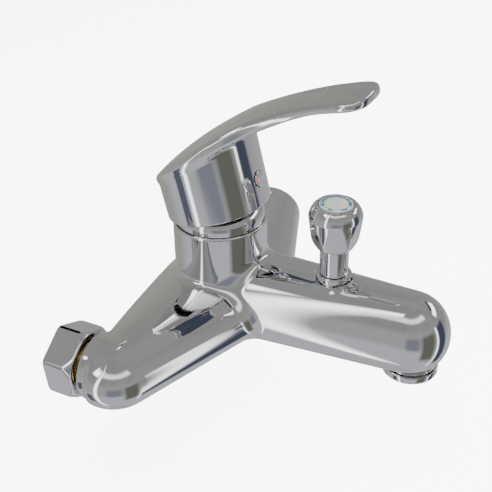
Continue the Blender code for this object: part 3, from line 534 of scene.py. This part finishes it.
# ================================================================ turned pieces
def rounded(profile: Profile, radius: float, closed: bool = True) -> Profile:
    """Round the corners of an outline.

    Args:
        profile: Points (radius, height) in order.
        radius: How far from a corner its rounding starts.
        closed: Whether the last point joins the first.

    Returns:
        The outline with each corner off the axis replaced by a short arc.
    """
    result: Profile = []
    count = len(profile)
    for index, corner in enumerate(profile):
        ends = not closed and index in (0, count - 1)
        if ends or corner[0] < 1e-7:
            result.append(corner)
            continue
        here = Vector(corner)
        before = Vector(profile[index - 1]) - here
        after = Vector(profile[(index + 1) % count]) - here
        reach = min(radius, before.length * 0.45, after.length * 0.45)
        start, end = here + before.normalized() * reach, here + after.normalized() * reach
        for step in range(5):
            share = step / 4
            blend = start * (1 - share) ** 2 + here * 2 * share * (1 - share) + end * share ** 2
            result.append((blend.x, blend.y))
    return result


def spun(name: str, profile: Profile, origin: Sequence[float], axis: Sequence[float] = (0.0, 0.0, 1.0),
         segments: int = 96) -> bpy.types.Mesh:
    """Spin a closed outline about an axis.

    Args:
        name: The mesh's name.
        profile: Closed outline of (radius, height along the axis).
        origin: Where height 0 lies on the axis.
        axis: The axis's direction.
        segments: Steps in a full turn.

    Returns:
        The turned mesh, in the frame's coordinates.
    """
    bm = bmesh.new()
    corners = [bm.verts.new((radius, 0.0, height)) for radius, height in profile]
    edges = [bm.edges.new((corners[i - 1], corners[i])) for i in range(len(corners))]
    on_axis = [e for e in edges if all(v.co.x < 1e-7 for v in e.verts)]
    rest = [e for e in edges if e not in on_axis]
    for edge in on_axis:
        bm.edges.remove(edge)
    bmesh.ops.spin(bm, geom=corners + rest, cent=(0, 0, 0), axis=(0, 0, 1), angle=math.tau,
                   steps=segments, use_merge=True)
    bmesh.ops.remove_doubles(bm, verts=bm.verts, dist=1e-7)
    bmesh.ops.recalc_face_normals(bm, faces=bm.faces)
    turn = Vector(axis).to_track_quat("Z", "Y").to_matrix().to_4x4()
    bmesh.ops.transform(bm, matrix=Matrix.Translation(Vector(origin)) @ turn, verts=bm.verts)
    mesh = bpy.data.meshes.new(name)
    bm.to_mesh(mesh)
    bm.free()
    mesh.shade_smooth()
    mesh.set_sharp_from_angle(angle=math.radians(28.0))
    return mesh


def placed(mesh: bpy.types.Mesh, body: str, nodes: Iterable[str], slot: Slot,
           finishes: Finishes) -> bpy.types.Object:
    """Put a new piece in the scene in place of CAD nodes.

    Args:
        mesh: The piece's mesh, in the frame's coordinates.
        body: The CAD body that it rides on.
        nodes: The CAD nodes that it stands for.
        slot: Its material slot.
        finishes: The finishes.

    Returns:
        The new object.
    """
    piece = bpy.data.objects.new(mesh.name, mesh)
    bpy.context.collection.objects.link(piece)
    finishes.dress(piece, slot)
    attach(piece, body)
    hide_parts(*nodes)
    return piece


def centre_of(node: str) -> Vector:
    """Return the middle of a CAD node's box."""
    low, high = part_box(node)
    return (low + high) / 2


# ================================================================ sub-assemblies
@dataclass
class Body:
    """The one-piece casting: tower, two arms, spout and the bosses on them."""

    finishes: Finishes
    arm_end: Lobe = Lobe((0.075, -0.0273, 0.0), 0.0191, 0.0142)
    arm_root: Lobe = Lobe((0.0018, -0.0402, 0.0), 0.0328, 0.0173)
    spout_root: Lobe = Lobe((0.0, -0.0402, 0.0035), 0.0235, 0.0215)
    spout_end: Lobe = Lobe((0.0, -0.1358, 0.0052), 0.0179, 0.0196)
    tower_base_r: float = 0.0225
    tower_top_r: float = 0.0221
    boss_r: float = 0.0154
    shower_boss_r: float = 0.0130
    inlet_bore_r: float = 0.0106
    cartridge_bore_r: float = 0.0176
    diverter_bore_r: float = 0.0078
    bonnet_recess_r: float = 0.0090
    aerator_bore_r: float = 0.0113
    shower_socket_r: float = 0.0091
    fillet: float = 0.0050

    def __post_init__(self) -> None:
        """Take the places that the CAD nodes give."""
        low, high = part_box("body_casting")
        self.back_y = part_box("union_nut_left")[0].y - NECK_GAP
        self.top_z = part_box("dome_ring")[0].z - GAP
        self.floor_z = low.z
        self.tower_y = centre_of("dome_ring").y
        self.knob = centre_of("diverter_bonnet")
        self.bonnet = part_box("diverter_bonnet")
        self.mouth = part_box("aerator_housing")
        self.shower_y = centre_of("shower_nipple").y
        self.inlet_x = centre_of("union_nut_right").x
        self.box = (low, high)

    def arms(self, points: Array) -> Array:
        """Return the field of both arms, folded onto one side, with their boss."""
        folded = points.copy()
        folded[:, 0] = np.abs(folded[:, 0])
        arm = horn(folded, self.arm_end, self.arm_root)
        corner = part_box("union_nut_right")
        near = (self.inlet_x - (corner[1].z - corner[0].z) * 0.54, self.back_y - 0.0003)
        run = (-near[0], -0.0090 - near[1])
        facing = 1 if run[0] > 0 else -1
        trim = half_space(folded, (near[0], near[1], 0.0), (-run[1], run[0], 0.0)) * facing
        arm = smooth_max(arm, trim, 0.0030)
        boss = bar(folded, (self.inlet_x, self.back_y, 0.0), (self.inlet_x, self.back_y - 0.014, 0.0),
                   self.boss_r, 0.0012)
        return smooth_min(arm, boss, 0.0014)

    def tower(self, points: Array) -> Array:
        """Return the field of the tower."""
        radial = np.hypot(points[:, 0], points[:, 1] - self.tower_y)
        share = np.clip(points[:, 2] / self.top_z, 0.0, 1.0)
        wall = radial - (self.tower_base_r + (self.tower_top_r - self.tower_base_r) * share)
        return smooth_max(wall, np.abs(points[:, 2] - self.top_z / 2) - self.top_z / 2, 0.0008)

    def pad(self, points: Array) -> Array:
        """Return the field of the raised pad that the bonnet stands on."""
        top = self.bonnet[1].z - 0.0016
        near = Lobe((0.0, self.knob.y, top - 0.006), 0.0102, 0.0060)
        far = Lobe((0.0, self.knob.y - 0.0135, top - 0.0070), 0.0034, 0.0056)
        return smooth_max(horn(points, near, far), points[:, 2] - top, 0.0008)

    def holes(self, points: Array) -> list[Array]:
        """Return the fields of the bores and seats."""
        folded = points.copy()
        folded[:, 0] = np.abs(folded[:, 0])
        inlet, tower, knob, shower = self.inlet_x, self.tower_y, self.knob.y, self.shower_y
        mouth_y = (self.mouth[0].y + self.mouth[1].y) / 2
        lip_r = (self.mouth[1].x - self.mouth[0].x) / 2
        mouth_z, bonnet_z = self.mouth[0].z, self.bonnet[1].z
        seat = mouth_z + 0.0045
        return [
            bar(folded, (inlet, self.back_y + 0.002, 0.0), (inlet, self.back_y - 0.0163, 0.0),
                self.inlet_bore_r),
            bar(points, (0.0, tower, 0.006), (0.0, tower, self.top_z + 0.002), self.cartridge_bore_r),
            bar(points, (0.0, knob, -0.0121), (0.0, knob, bonnet_z + 0.002), self.diverter_bore_r),
            bar(points, (0.0, knob, bonnet_z - 0.0025), (0.0, knob, bonnet_z + 0.006),
                self.bonnet_recess_r),
            bar(points, (0.0, mouth_y, self.floor_z - 0.004), (0.0, mouth_y, seat), lip_r + 0.0020),
            bar(points, (0.0, mouth_y, mouth_z - 0.002), (0.0, mouth_y, seat + 0.0098),
                self.aerator_bore_r),
            bar(points, (0.0, shower, self.floor_z - 0.002), (0.0, shower, self.floor_z + 0.0073),
                self.shower_socket_r),
        ]

    def shape(self, points: Array) -> Array:
        """Return the field of the whole casting."""
        solid = smooth_min(self.arms(points), self.tower(points), self.fillet)
        spout = horn(points, self.spout_root, self.spout_end)
        solid = smooth_min(solid, spout, self.fillet)
        solid = smooth_min(solid, self.pad(points), 0.0020)
        boss = bar(points, (0.0, self.shower_y, self.floor_z), (0.0, self.shower_y, 0.0),
                   self.shower_boss_r, 0.0010)
        solid = smooth_min(solid, boss, 0.0020)
        for hole in self.holes(points):
            solid = smooth_max(solid, -hole, 0.0005)
        return solid

    def build(self) -> None:
        """Make the casting."""
        mesh = Skin(*self.box, 0.0009).build("body_casting_skin", self.shape)
        placed(mesh, "root", ["body_casting"], Slot.CHROME, self.finishes)


@dataclass
class UnionNuts:
    """The two hexagon union nuts, with rounded edges and bored mouths."""

    finishes: Finishes
    flats: float = 0.030
    turn: float = math.radians(25.0)

    def shape(self, points: Array, x: float, length: float) -> Array:
        """Return the field of one nut.

        Args:
            points: Points in the frame.
            x: The inlet's place along the wall.
            length: The nut's length.

        Returns:
            The signed distance.
        """
        across, up = points[:, 0] - x, points[:, 2]
        depth = -points[:, 1]
        hexagon = np.full(len(points), -1.0)
        for index in range(3):
            angle = self.turn + math.pi / 6 + math.pi * index / 3
            side = np.abs(across * math.cos(angle) - up * math.sin(angle)) - self.flats / 2
            hexagon = smooth_max(hexagon, side, 0.0007)
        radial = np.hypot(across, up)
        solid = smooth_max(hexagon, np.abs(depth - length / 2) - length / 2, 0.0008)
        corner = self.flats / 2 / math.cos(math.pi / 6)
        lean = (radial - corner) * 0.86
        front = lean + (depth - (length - 0.0030)) * 0.5
        back = lean + (0.0012 - depth) * 0.5
        solid = smooth_max(smooth_max(solid, front, 0.0007), back, 0.0007)
        mouth = smooth_max(radial - 0.0124, depth - (length - 0.0028), 0.0004)
        solid = smooth_max(solid, -mouth, 0.0006)
        return smooth_max(solid, 0.0106 - radial, 0.0006)

    def build(self) -> None:
        """Make both nuts."""
        for label in ("left", "right"):
            node = f"union_nut_{label}"
            low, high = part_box(node)
            x, length = (low.x + high.x) / 2, high.y - low.y
            mesh = Skin(low, high, 0.00045).build(f"{node}_skin", lambda p: self.shape(p, x, length))
            placed(mesh, f"nut_{label}", [node], Slot.CHROME, self.finishes)


@dataclass
class Inlets:
    """The brass nipples that the nuts turn on."""

    finishes: Finishes
    wall: float = 0.0019

    def build(self) -> None:
        """Make both nipples."""
        for label in ("left", "right"):
            node = f"inlet_nipple_{label}"
            low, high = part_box(node)
            flange_r = (high.x - low.x) / 2
            tube_r = 0.0103
            length = high.y - low.y
            profile = [(tube_r - self.wall, 0.0), (flange_r, 0.0), (flange_r, 0.0024), (tube_r, 0.0024),
                       (tube_r, length), (tube_r - self.wall, length)]
            mesh = spun(f"{node}_fine", rounded(profile, 0.0003), ((low.x + high.x) / 2, high.y, 0.0),
                        (0.0, -1.0, 0.0))
            placed(mesh, "root", [node], Slot.BRASS, self.finishes)


@dataclass
class TurnedTrim:
    """Dome ring, bonnet, aerator ring and hose nipple."""

    finishes: Finishes
    dome_wall: float = 0.0016
    dome_hole_r: float = 0.0135
    bonnet_collar: float = 0.0022

    def fit(self, node: str, profile: Profile) -> None:
        """Spin a profile on a CAD node's own axis and put it in the node's place.

        Args:
            node: The CAD node.
            profile: Radii and heights, counted from the node's lowest point.
        """
        centre = centre_of(node)
        mesh = spun(f"{node}_fine", profile, (centre.x, centre.y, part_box(node)[0].z))
        placed(mesh, "root", [node], Slot.CHROME, self.finishes)

    def dome(self) -> None:
        """Make the dome that closes the tower's top."""
        low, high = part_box("dome_ring")
        radius, rise = (high.x - low.x) / 2, high.z - low.z
        outer, inner = [], []
        for step in range(19):
            angle = math.radians(5.0 * step)
            inward = rise * 0.75 * (1 - math.cos(angle))
            share = 0.25 + 0.75 * math.sin(angle)
            outer.append((radius - inward, rise * share))
            inner.append((radius - self.dome_wall - inward, (rise - self.dome_wall) * share))
        hole = [(self.dome_hole_r, rise), (self.dome_hole_r, rise - self.dome_wall)]
        profile = [(radius, 0.0)] + outer + hole + inner[::-1] + [(radius - self.dome_wall, 0.0)]
        self.fit("dome_ring", profile)

    def bonnet(self) -> None:
        """Make the diverter's bonnet."""
        low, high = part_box("diverter_bonnet")
        collar = (high.x - low.x) / 2
        height = high.z - low.z
        foot = height - self.bonnet_collar
        profile = [(0.0028, 0.0), (0.0075, 0.0), (0.0075, foot), (collar, foot),
                   (collar, height), (0.0028, height)]
        self.fit("diverter_bonnet", rounded(profile, 0.0005))

    def aerator(self) -> None:
        """Make the aerator's ring."""
        low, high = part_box("aerator_housing")
        radius, height = (high.x - low.x) / 2, high.z - low.z
        profile = [(0.0094, 0.0), (radius - 0.0010, 0.0), (radius, 0.0010), (radius, 0.0042),
                   (0.0110, 0.0042), (0.0110, height), (0.0094, height)]
        self.fit("aerator_housing", rounded(profile, 0.0006))

    def hose_nipple(self) -> None:
        """Make the hose nipple, with its thread cut as rings."""
        low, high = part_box("shower_nipple")
        collar = (high.x - low.x) / 2
        crest, bore, pitch = 0.0103, 0.0062, 0.00125
        profile = [(bore, 0.0), (crest - 0.0010, 0.0)]
        height = 0.0008
        while height + pitch < 0.0075:
            profile += [(crest, height), (crest, height + pitch * 0.3),
                        (crest - 0.0006, height + pitch * 0.6)]
            height += pitch
        profile += [(crest - 0.0006, 0.0075), (collar, 0.0075), (collar, 0.0097), (0.0088, 0.0097),
                    (0.0088, high.z - low.z), (bore, high.z - low.z)]
        self.fit("shower_nipple", rounded(profile, 0.00025))

    def build(self) -> None:
        """Make all four."""
        self.dome()
        self.bonnet()
        self.aerator()
        self.hose_nipple()


@dataclass
class Handle:
    """The lever handle: a leaning cup that flows into a long curved blade."""

    finishes: Finishes
    cup_r: float = 0.0244
    cup_wall: float = 0.0016
    cup_tilt: float = math.radians(13.0)
    cup_rim_z: float = 0.0487
    cavity: float = 0.0145
    socket_r: float = 0.0072
    socket_low_z: float = 0.0552
    socket_high_z: float = 0.0650
    spindle_half: float = 0.0042
    spindle_top_z: float = 0.0613
    button_r: float = 0.0036
    button_thick: float = 0.0022
    pivot: tuple[float, float] = (-0.0402, 0.030)
    line: tuple[tuple[float, float, float, float], ...] = (
        (-0.0150, 0.0632, 0.0150, 0.0040), (-0.0185, 0.0683, 0.0200, 0.0050),
        (-0.0270, 0.0768, 0.0228, 0.0070), (-0.0400, 0.0868, 0.0228, 0.0074),
        (-0.0500, 0.0938, 0.0196, 0.0074), (-0.0600, 0.0998, 0.0154, 0.0074),
        (-0.0720, 0.1055, 0.0136, 0.0067), (-0.0900, 0.1120, 0.0136, 0.0050),
        (-0.1042, 0.1158, 0.0142, 0.0050), (-0.1122, 0.1176, 0.0142, 0.0048))

    def __post_init__(self) -> None:
        """Work out the blade's middle line in short steps."""
        knots = np.array(self.line)
        lengths = np.r_[0.0, np.cumsum(np.hypot(*np.diff(knots[:, :2], axis=0).T))]
        stations = np.linspace(0.0, lengths[-1], 150)
        cols = [self.eased(stations, lengths, knots[:, c]) for c in range(4)]
        top = np.stack(cols[:2], 1)
        tangent = np.gradient(top, axis=0)
        tangent /= np.linalg.norm(tangent, axis=1, keepdims=True)
        normal = np.stack([tangent[:, 1], -tangent[:, 0]], 1)
        normal *= np.sign(normal[:, 1:2])
        self.middle = top - normal * cols[3][:, None] / 2
        self.tangent, self.normal = tangent, normal
        self.half, self.thick = cols[2], cols[3]
        self.run = np.r_[0.0, np.cumsum(np.linalg.norm(np.diff(self.middle, axis=0), axis=1))]

    @staticmethod
    def eased(at: Array, knots: Array, values: Array) -> Array:
        """Interpolate through knots with slopes taken from their neighbours."""
        slopes = np.gradient(values, knots)
        index = np.clip(np.searchsorted(knots, at, side="right") - 1, 0, len(knots) - 2)
        width = knots[index + 1] - knots[index]
        t = (at - knots[index]) / width
        rise = values[index] * (2 * t ** 3 - 3 * t ** 2 + 1) + values[index + 1] * (3 * t ** 2 - 2 * t ** 3)
        bend = slopes[index] * (t ** 3 - 2 * t ** 2 + t) + slopes[index + 1] * (t ** 3 - t ** 2)
        return rise + bend * width

    def along_blade(self, points: Array) -> tuple[Array, Array]:
        """Return each point's place along the blade and its height over the middle line."""
        flat = points[:, 1:3]
        place, height = np.empty(len(points)), np.empty(len(points))
        for start in range(0, len(points), CHUNK):
            part = flat[start:start + CHUNK]
            gaps = ((part[:, None, :] - self.middle[None, :, :]) ** 2).sum(2)
            near = gaps.argmin(1)
            offset = part - self.middle[near]
            place[start:start + CHUNK] = self.run[near] + (offset * self.tangent[near]).sum(1)
            height[start:start + CHUNK] = (offset * self.normal[near]).sum(1)
        return place, height

    def blade(self, points: Array, place: Array, height: Array) -> Array:
        """Return the field of the blade."""
        half = np.interp(place, self.run, self.half)
        thick = np.interp(place, self.run, self.thick)
        tip = np.clip((place - (self.run[-1] - 0.0110)) / 0.0110, 0.0, 1.0)
        half = half * (1.0 - tip ** 2.6) ** (1 / 2.6) + 1e-6
        across = np.abs(points[:, 0])
        crown = np.clip(across / half, 0.0, 1.2) ** 2
        body = thick / 2 * (1.0 - 0.25 * crown)
        edge = np.minimum(0.0021, thick / 2 * 0.72)
        dx = across - (half - edge)
        dz = np.abs(height + 0.10 * thick * crown) - (body - edge)
        ds = np.maximum(-place, place - self.run[-1]) + edge
        outside = np.sqrt(np.maximum(dx, 0.0) ** 2 + np.maximum(dz, 0.0) ** 2 + np.maximum(ds, 0.0) ** 2)
        return outside + np.minimum(np.maximum(np.maximum(dx, dz), ds), 0.0) - edge

    def shape(self, points: Array) -> Array:
        """Return the field of the whole handle."""
        place, height = self.along_blade(points)
        blade = self.blade(points, place, height)
        sin, cos = math.sin(self.cup_tilt), math.cos(self.cup_tilt)
        forward = points[:, 1] - self.pivot[0]
        upward = points[:, 2] - self.cup_rim_z
        back = forward * cos - upward * sin
        rise = forward * sin + upward * cos
        radial = np.hypot(points[:, 0], back)
        cup = smooth_max(radial - self.cup_r, -rise, 0.0007)
        cup = smooth_max(cup, height, 0.0010)
        solid = smooth_min(cup, blade, 0.0024)
        cavity = smooth_max(radial - (self.cup_r - self.cup_wall), rise - self.cavity, 0.0012)
        solid = smooth_max(solid, -cavity, 0.0006)
        y = self.pivot[0]
        post = bar(points, (0.0, y, self.socket_low_z), (0.0, y, self.socket_high_z), self.socket_r)
        solid = smooth_min(solid, post, 0.0008)
        side = np.maximum(np.abs(points[:, 0]), np.abs(points[:, 1] - y)) - self.spindle_half
        solid = smooth_max(solid, -np.maximum(side, points[:, 2] - self.spindle_top_z), 0.0003)
        out = Vector((0.0, -cos, sin))
        button = centre_of("index_button")
        seat = bar(points, tuple(button - out * 0.0014), tuple(button + out * 0.005),
                   self.button_r + GAP, 0.0003)
        return smooth_max(solid, -seat, 0.0003)

    def build(self) -> None:
        """Make the handle and its index button."""
        low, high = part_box("handle")
        mesh = Skin(low, high, 0.0007).build("handle_skin", self.shape)
        placed(mesh, "lever", ["handle"], Slot.CHROME, self.finishes)
        out = Vector((0.0, -math.cos(self.cup_tilt), math.sin(self.cup_tilt)))
        profile = [(0.0, 0.0), (self.button_r, 0.0), (self.button_r, self.button_thick),
                   (0.0, self.button_thick)]
        start = centre_of("index_button") - out * self.button_thick / 2
        mesh = spun("index_button_fine", rounded(profile, 0.0005), start, out, 64)
        placed(mesh, "lever", ["index_button"], Slot.CHROME, self.finishes)


@dataclass
class Knob:
    """The diverter's pull knob with its flats, sleeve and coloured insert."""

    finishes: Finishes
    flats: int = 6
    flat_foot: float = 0.0083
    flat_turn: float = math.radians(23.6)
    knob_r: float = 0.0121
    belly_r: float = 0.0113
    foot_r: float = 0.0082
    head: float = 0.0062
    height: float = 0.0222
    insert_r: float = 0.0076
    sleeve_r: float = 0.0066

    def __post_init__(self) -> None:
        """Take the knob's place from the CAD."""
        low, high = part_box("diverter_knob")
        self.low, self.high = low, high
        self.centre = ((low.x + high.x) / 2, (low.y + high.y) / 2)
        self.foot_z = high.z - self.height

    def outline(self) -> tuple[Array, Array]:
        """Return heights and radii of the knob's turned shape."""
        heights = [0.0, self.height * 0.03, self.height * 0.12, self.height * 0.22]
        radii = [self.sleeve_r, self.foot_r, self.belly_r - 0.0014, self.belly_r - 0.0006]
        base = self.height - self.head
        heights.append(base)
        radii.append(self.knob_r)
        for degrees in range(8, 90, 8):
            angle = math.radians(degrees)
            heights.append(base + self.head * 0.98 * math.sin(angle) ** 1.25)
            radii.append(self.knob_r - (self.knob_r - self.insert_r) * 0.88 * (1 - math.cos(angle) ** 1.25))
        return np.array(heights), np.array(radii)

    def shape(self, points: Array) -> Array:
        """Return the field of the knob and its sleeve."""
        x, y = points[:, 0] - self.centre[0], points[:, 1] - self.centre[1]
        z = points[:, 2] - self.foot_z
        radial = np.hypot(x, y)
        heights, radii = self.outline()
        wall = (radial - np.interp(z, heights, radii)) * 0.92
        solid = smooth_max(wall, np.maximum(-z, z - self.height), 0.0005)
        lean = math.atan2(self.knob_r - self.flat_foot, self.height - self.head)
        for index in range(self.flats):
            angle = self.flat_turn + math.tau * index / self.flats
            toward = x * math.cos(angle) + y * math.sin(angle)
            flat = (toward - self.flat_foot) * math.cos(lean) - z * math.sin(lean)
            solid = smooth_max(solid, flat, 0.0003)
        bottom = self.low.z - points[:, 2]
        sleeve = smooth_max(radial - self.sleeve_r, np.maximum(bottom, z - 0.004), 0.0005)
        solid = smooth_min(solid, sleeve, 0.0004)
        solid = smooth_max(solid, -np.maximum(radial - 0.0027, z - self.height * 0.565), 0.0003)
        pocket = smooth_max(radial - (self.insert_r + 0.0003), self.height - 0.0025 - z, 0.0003)
        return smooth_max(solid, -pocket, 0.0003)

    def build(self) -> None:
        """Make the knob, its printed ring and its domed disc."""
        mesh = Skin(self.low, self.high, 0.00032).build("diverter_knob_skin", self.shape)
        placed(mesh, "knob", ["diverter_knob"], Slot.CHROME, self.finishes)
        low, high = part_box("knob_insert_ring")
        depth = high.z - low.z
        outer = (high.x - low.x) / 2
        ring = [(0.0058, 0.0), (outer, 0.0), (outer, depth - 0.0003), (0.0058, depth)]
        mesh = spun("knob_insert_ring_fine", rounded(ring, 0.0003), (*self.centre, low.z))
        placed(mesh, "knob", ["knob_insert_ring"], Slot.PRINT, self.finishes)
        low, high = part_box("knob_insert_disc")
        depth, radius = high.z - low.z, (high.x - low.x) / 2
        disc = [(0.0, 0.0), (radius, 0.0)]
        for step in range(13):
            share = step / 12
            angle = math.pi / 2 * share
            disc.append((radius * math.cos(angle), depth - 0.0006 * (1 - math.sin(angle))))
        mesh = spun("knob_insert_disc_fine", disc, (*self.centre, low.z))
        placed(mesh, "knob", ["knob_insert_disc"], Slot.INSERT, self.finishes)


@dataclass
class CarriedOver:
    """CAD nodes that are shown as they are, with their finishes."""

    finishes: Finishes
    frame: dict

    def build(self) -> None:
        """Dress every CAD node that no piece stands for."""
        count = 0
        for entry in self.frame["record"]["subparts"]:
            node = self.frame["nodes"][entry["node"]]
            if not node.hide_render:
                self.finishes.dress(node, Slot(entry["material_slot"]))
                count += 1
        log.info("%d nodes carried over", count)


# ================================================================ studio
@dataclass(frozen=True)
class Patch:
    """A bright or dark patch of the studio's wall, by bearing and height in degrees.

    Bearings are counted from the camera's own, positive to its right.
    """

    bearing: tuple[float, float]
    height: tuple[float, float]
    colour: tuple[float, float, float]
    soft: float = 4.0

    def share(self, bearing: Socket, height: Socket) -> Socket:
        """Return how much of the patch lies in a direction, from 0 to 1."""
        (left, right), (low, high) = self.bearing, self.height
        inside = bearing.step_up(left, self.soft) * (1.0 - bearing.step_up(right, self.soft))
        return inside * height.step_up(low, self.soft) * (1.0 - height.step_up(high, self.soft))


@dataclass(frozen=True)
class Tent:
    """A round wall all about the object, which only polished surfaces see."""

    heading: float
    radius: float = 2.0
    patches: tuple[Patch, ...] = (
        Patch((-180, 180), (-90, -12), (0.60, 0.60, 0.64), 26.0),
        Patch((-112, 60), (-14, 20), (0.44, 0.44, 0.44), 16.0),
        Patch((-175, -100), (-60, 30), (0.42, 0.41, 0.37), 30.0),
        Patch((24, 60), (-46, 12), (0.15, 0.155, 0.13), 11.0),
        Patch((-18, 18), (-20, 10), (0.24, 0.25, 0.29), 10.0),
        Patch((72, 96), (-52, 14), (0.07, 0.08, 0.12), 7.0),
        Patch((-72, -54), (-50, -24), (0.12, 0.13, 0.17), 3.0),
        Patch((-47, -40), (-70, 70), (3.2, 3.2, 3.2), 5.0),
        Patch((66, 71), (-60, 16), (2.4, 2.4, 2.4), 3.0),
        Patch((-74, -52), (42, 54), (4.2, 4.2, 4.2), 5.0),
        Patch((92, 128), (24, 33), (4.2, 4.2, 4.2), 5.0),
        Patch((100, 132), (35, 41), (0.05, 0.05, 0.05), 3.0),
        Patch((-40, 60), (48, 60), (1.6, 1.6, 1.6), 8.0),
    )

    def build(self) -> None:
        """Make the wall."""
        bm = bmesh.new()
        bmesh.ops.create_uvsphere(bm, u_segments=48, v_segments=24, radius=self.radius)
        bmesh.ops.reverse_faces(bm, faces=bm.faces)
        mesh = bpy.data.meshes.new("tent")
        bm.to_mesh(mesh)
        bm.free()
        wall = bpy.data.objects.new("tent", mesh)
        bpy.context.collection.objects.link(wall)
        graph = Graph("tent")
        x, y, z = graph.axes()
        toward = (-math.sin(self.heading), -math.cos(self.heading))
        right = (math.cos(self.heading), -math.sin(self.heading))
        near = x * toward[0] + y * toward[1]
        side = x * right[0] + y * right[1]
        bearing = side.math("ARCTAN2", near) * math.degrees(1.0)
        level = (x * x + y * y).math("SQRT")
        height = z.math("ARCTAN2", level) * math.degrees(1.0)
        cloud = graph.noise(1.3, 3.0)
        colour = graph.mix(cloud.step_up(0.5, 0.7), rgb(0.27, 0.268, 0.255), rgb(0.40, 0.395, 0.38))
        for patch in self.patches:
            colour = graph.mix(patch.share(bearing, height), colour, rgb(*patch.colour))
        graph.set(Base_Color=rgb(0.0, 0.0, 0.0), Roughness=1.0, Emission_Color=colour, Emission_Strength=1.0)
        graph.shader.inputs["Specular IOR Level"].default_value = 0.0
        mesh.materials.append(graph.material)
        for ray in ("camera", "diffuse", "transmission", "volume_scatter", "shadow"):
            setattr(wall, f"visible_{ray}", False)


@dataclass
class Studio:
    """Floor, tent, lights and camera."""

    floor_z: float = -0.115
    camera_at: Point = (-0.31705, -0.21966, 0.25491)
    heading: float = 1.08829
    drop: float = 0.56333
    roll: float = 0.02317
    lens: float = 65.85

    def floor(self) -> None:
        """Lay the floor."""
        bm = bmesh.new()
        bmesh.ops.create_grid(bm, x_segments=1, y_segments=1, size=1.6)
        mesh = bpy.data.meshes.new("floor")
        bm.to_mesh(mesh)
        bm.free()
        ground = bpy.data.objects.new("floor", mesh)
        bpy.context.collection.objects.link(ground)
        ground.location = (0.0, 0.0, self.floor_z)
        graph = Graph("floor")
        tint = graph.mix(graph.noise(3.0).step_up(0.5, 0.6), rgb(0.96, 0.96, 0.965), rgb(0.95, 0.95, 0.955))
        graph.set(Base_Color=tint, Roughness=0.9, Emission_Color=rgb(1.0, 1.0, 1.0), Emission_Strength=6.0)
        mesh.materials.append(graph.material)
        ground.visible_glossy = False

    def lights(self) -> None:
        """Hang the soft lights that fall on the floor and the plastic."""
        lamps = (("key", (-0.6, -0.5, 1.0), 0.7, 34.0), ("fill", (0.7, -0.3, 0.9), 0.9, 24.0))
        for name, place, size, power in lamps:
            lamp = bpy.data.lights.new(name, "AREA")
            lamp.shape = "SQUARE"
            lamp.size = size
            lamp.energy = power
            thing = bpy.data.objects.new(name, lamp)
            bpy.context.collection.objects.link(thing)
            thing.location = place
            thing.rotation_euler = (Vector(place) - Vector((0, -0.06, 0))).to_track_quat("Z", "Y").to_euler()
            thing.visible_glossy = False
        world = bpy.data.worlds.new("studio")
        bpy.context.scene.world = world
        world.use_nodes = True
        back = world.node_tree.nodes["Background"]
        back.inputs["Color"].default_value = rgb(0.97, 0.98, 1.0)
        back.inputs["Strength"].default_value = 0.60

    def camera(self) -> None:
        """Set up the camera."""
        a, e, r = self.heading, self.drop, self.roll
        forward = Vector((math.sin(a) * math.cos(e), math.cos(a) * math.cos(e), -math.sin(e)))
        right = Vector((math.cos(a), -math.sin(a), 0.0))
        up = right.cross(forward)
        across = right * math.cos(r) - up * math.sin(r)
        above = right * math.sin(r) + up * math.cos(r)
        turn = Matrix((across, above, -forward)).transposed().to_4x4()
        data = bpy.data.cameras.new("camera")
        data.lens = self.lens
        data.sensor_width = 36.0
        data.clip_start = 0.01
        eye = bpy.data.objects.new("camera", data)
        bpy.context.collection.objects.link(eye)
        eye.matrix_world = Matrix.Translation(self.camera_at) @ turn
        bpy.context.scene.camera = eye

    def build(self) -> None:
        """Build the studio."""
        self.floor()
        Tent(self.heading).build()
        self.lights()
        self.camera()


def main() -> None:
    """Build the whole scene."""
    logging.basicConfig(level=logging.INFO, format="%(name)s: %(message)s")
    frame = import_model()
    knob_low, knob_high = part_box("diverter_knob")
    ring_low, ring_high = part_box("knob_insert_ring")
    disc_low, disc_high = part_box("knob_insert_disc")
    finishes = Finishes(((knob_low.x + knob_high.x) / 2, (knob_low.y + knob_high.y) / 2),
                        ((disc_high.x - disc_low.x) / 2, (ring_high.x - ring_low.x) / 2))
    finishes.build()
    Body(finishes).build()
    UnionNuts(finishes).build()
    Inlets(finishes).build()
    TurnedTrim(finishes).build()
    Handle(finishes).build()
    Knob(finishes).build()
    CarriedOver(finishes, frame).build()
    Studio().build()


if __name__ == "__main__":
    main()
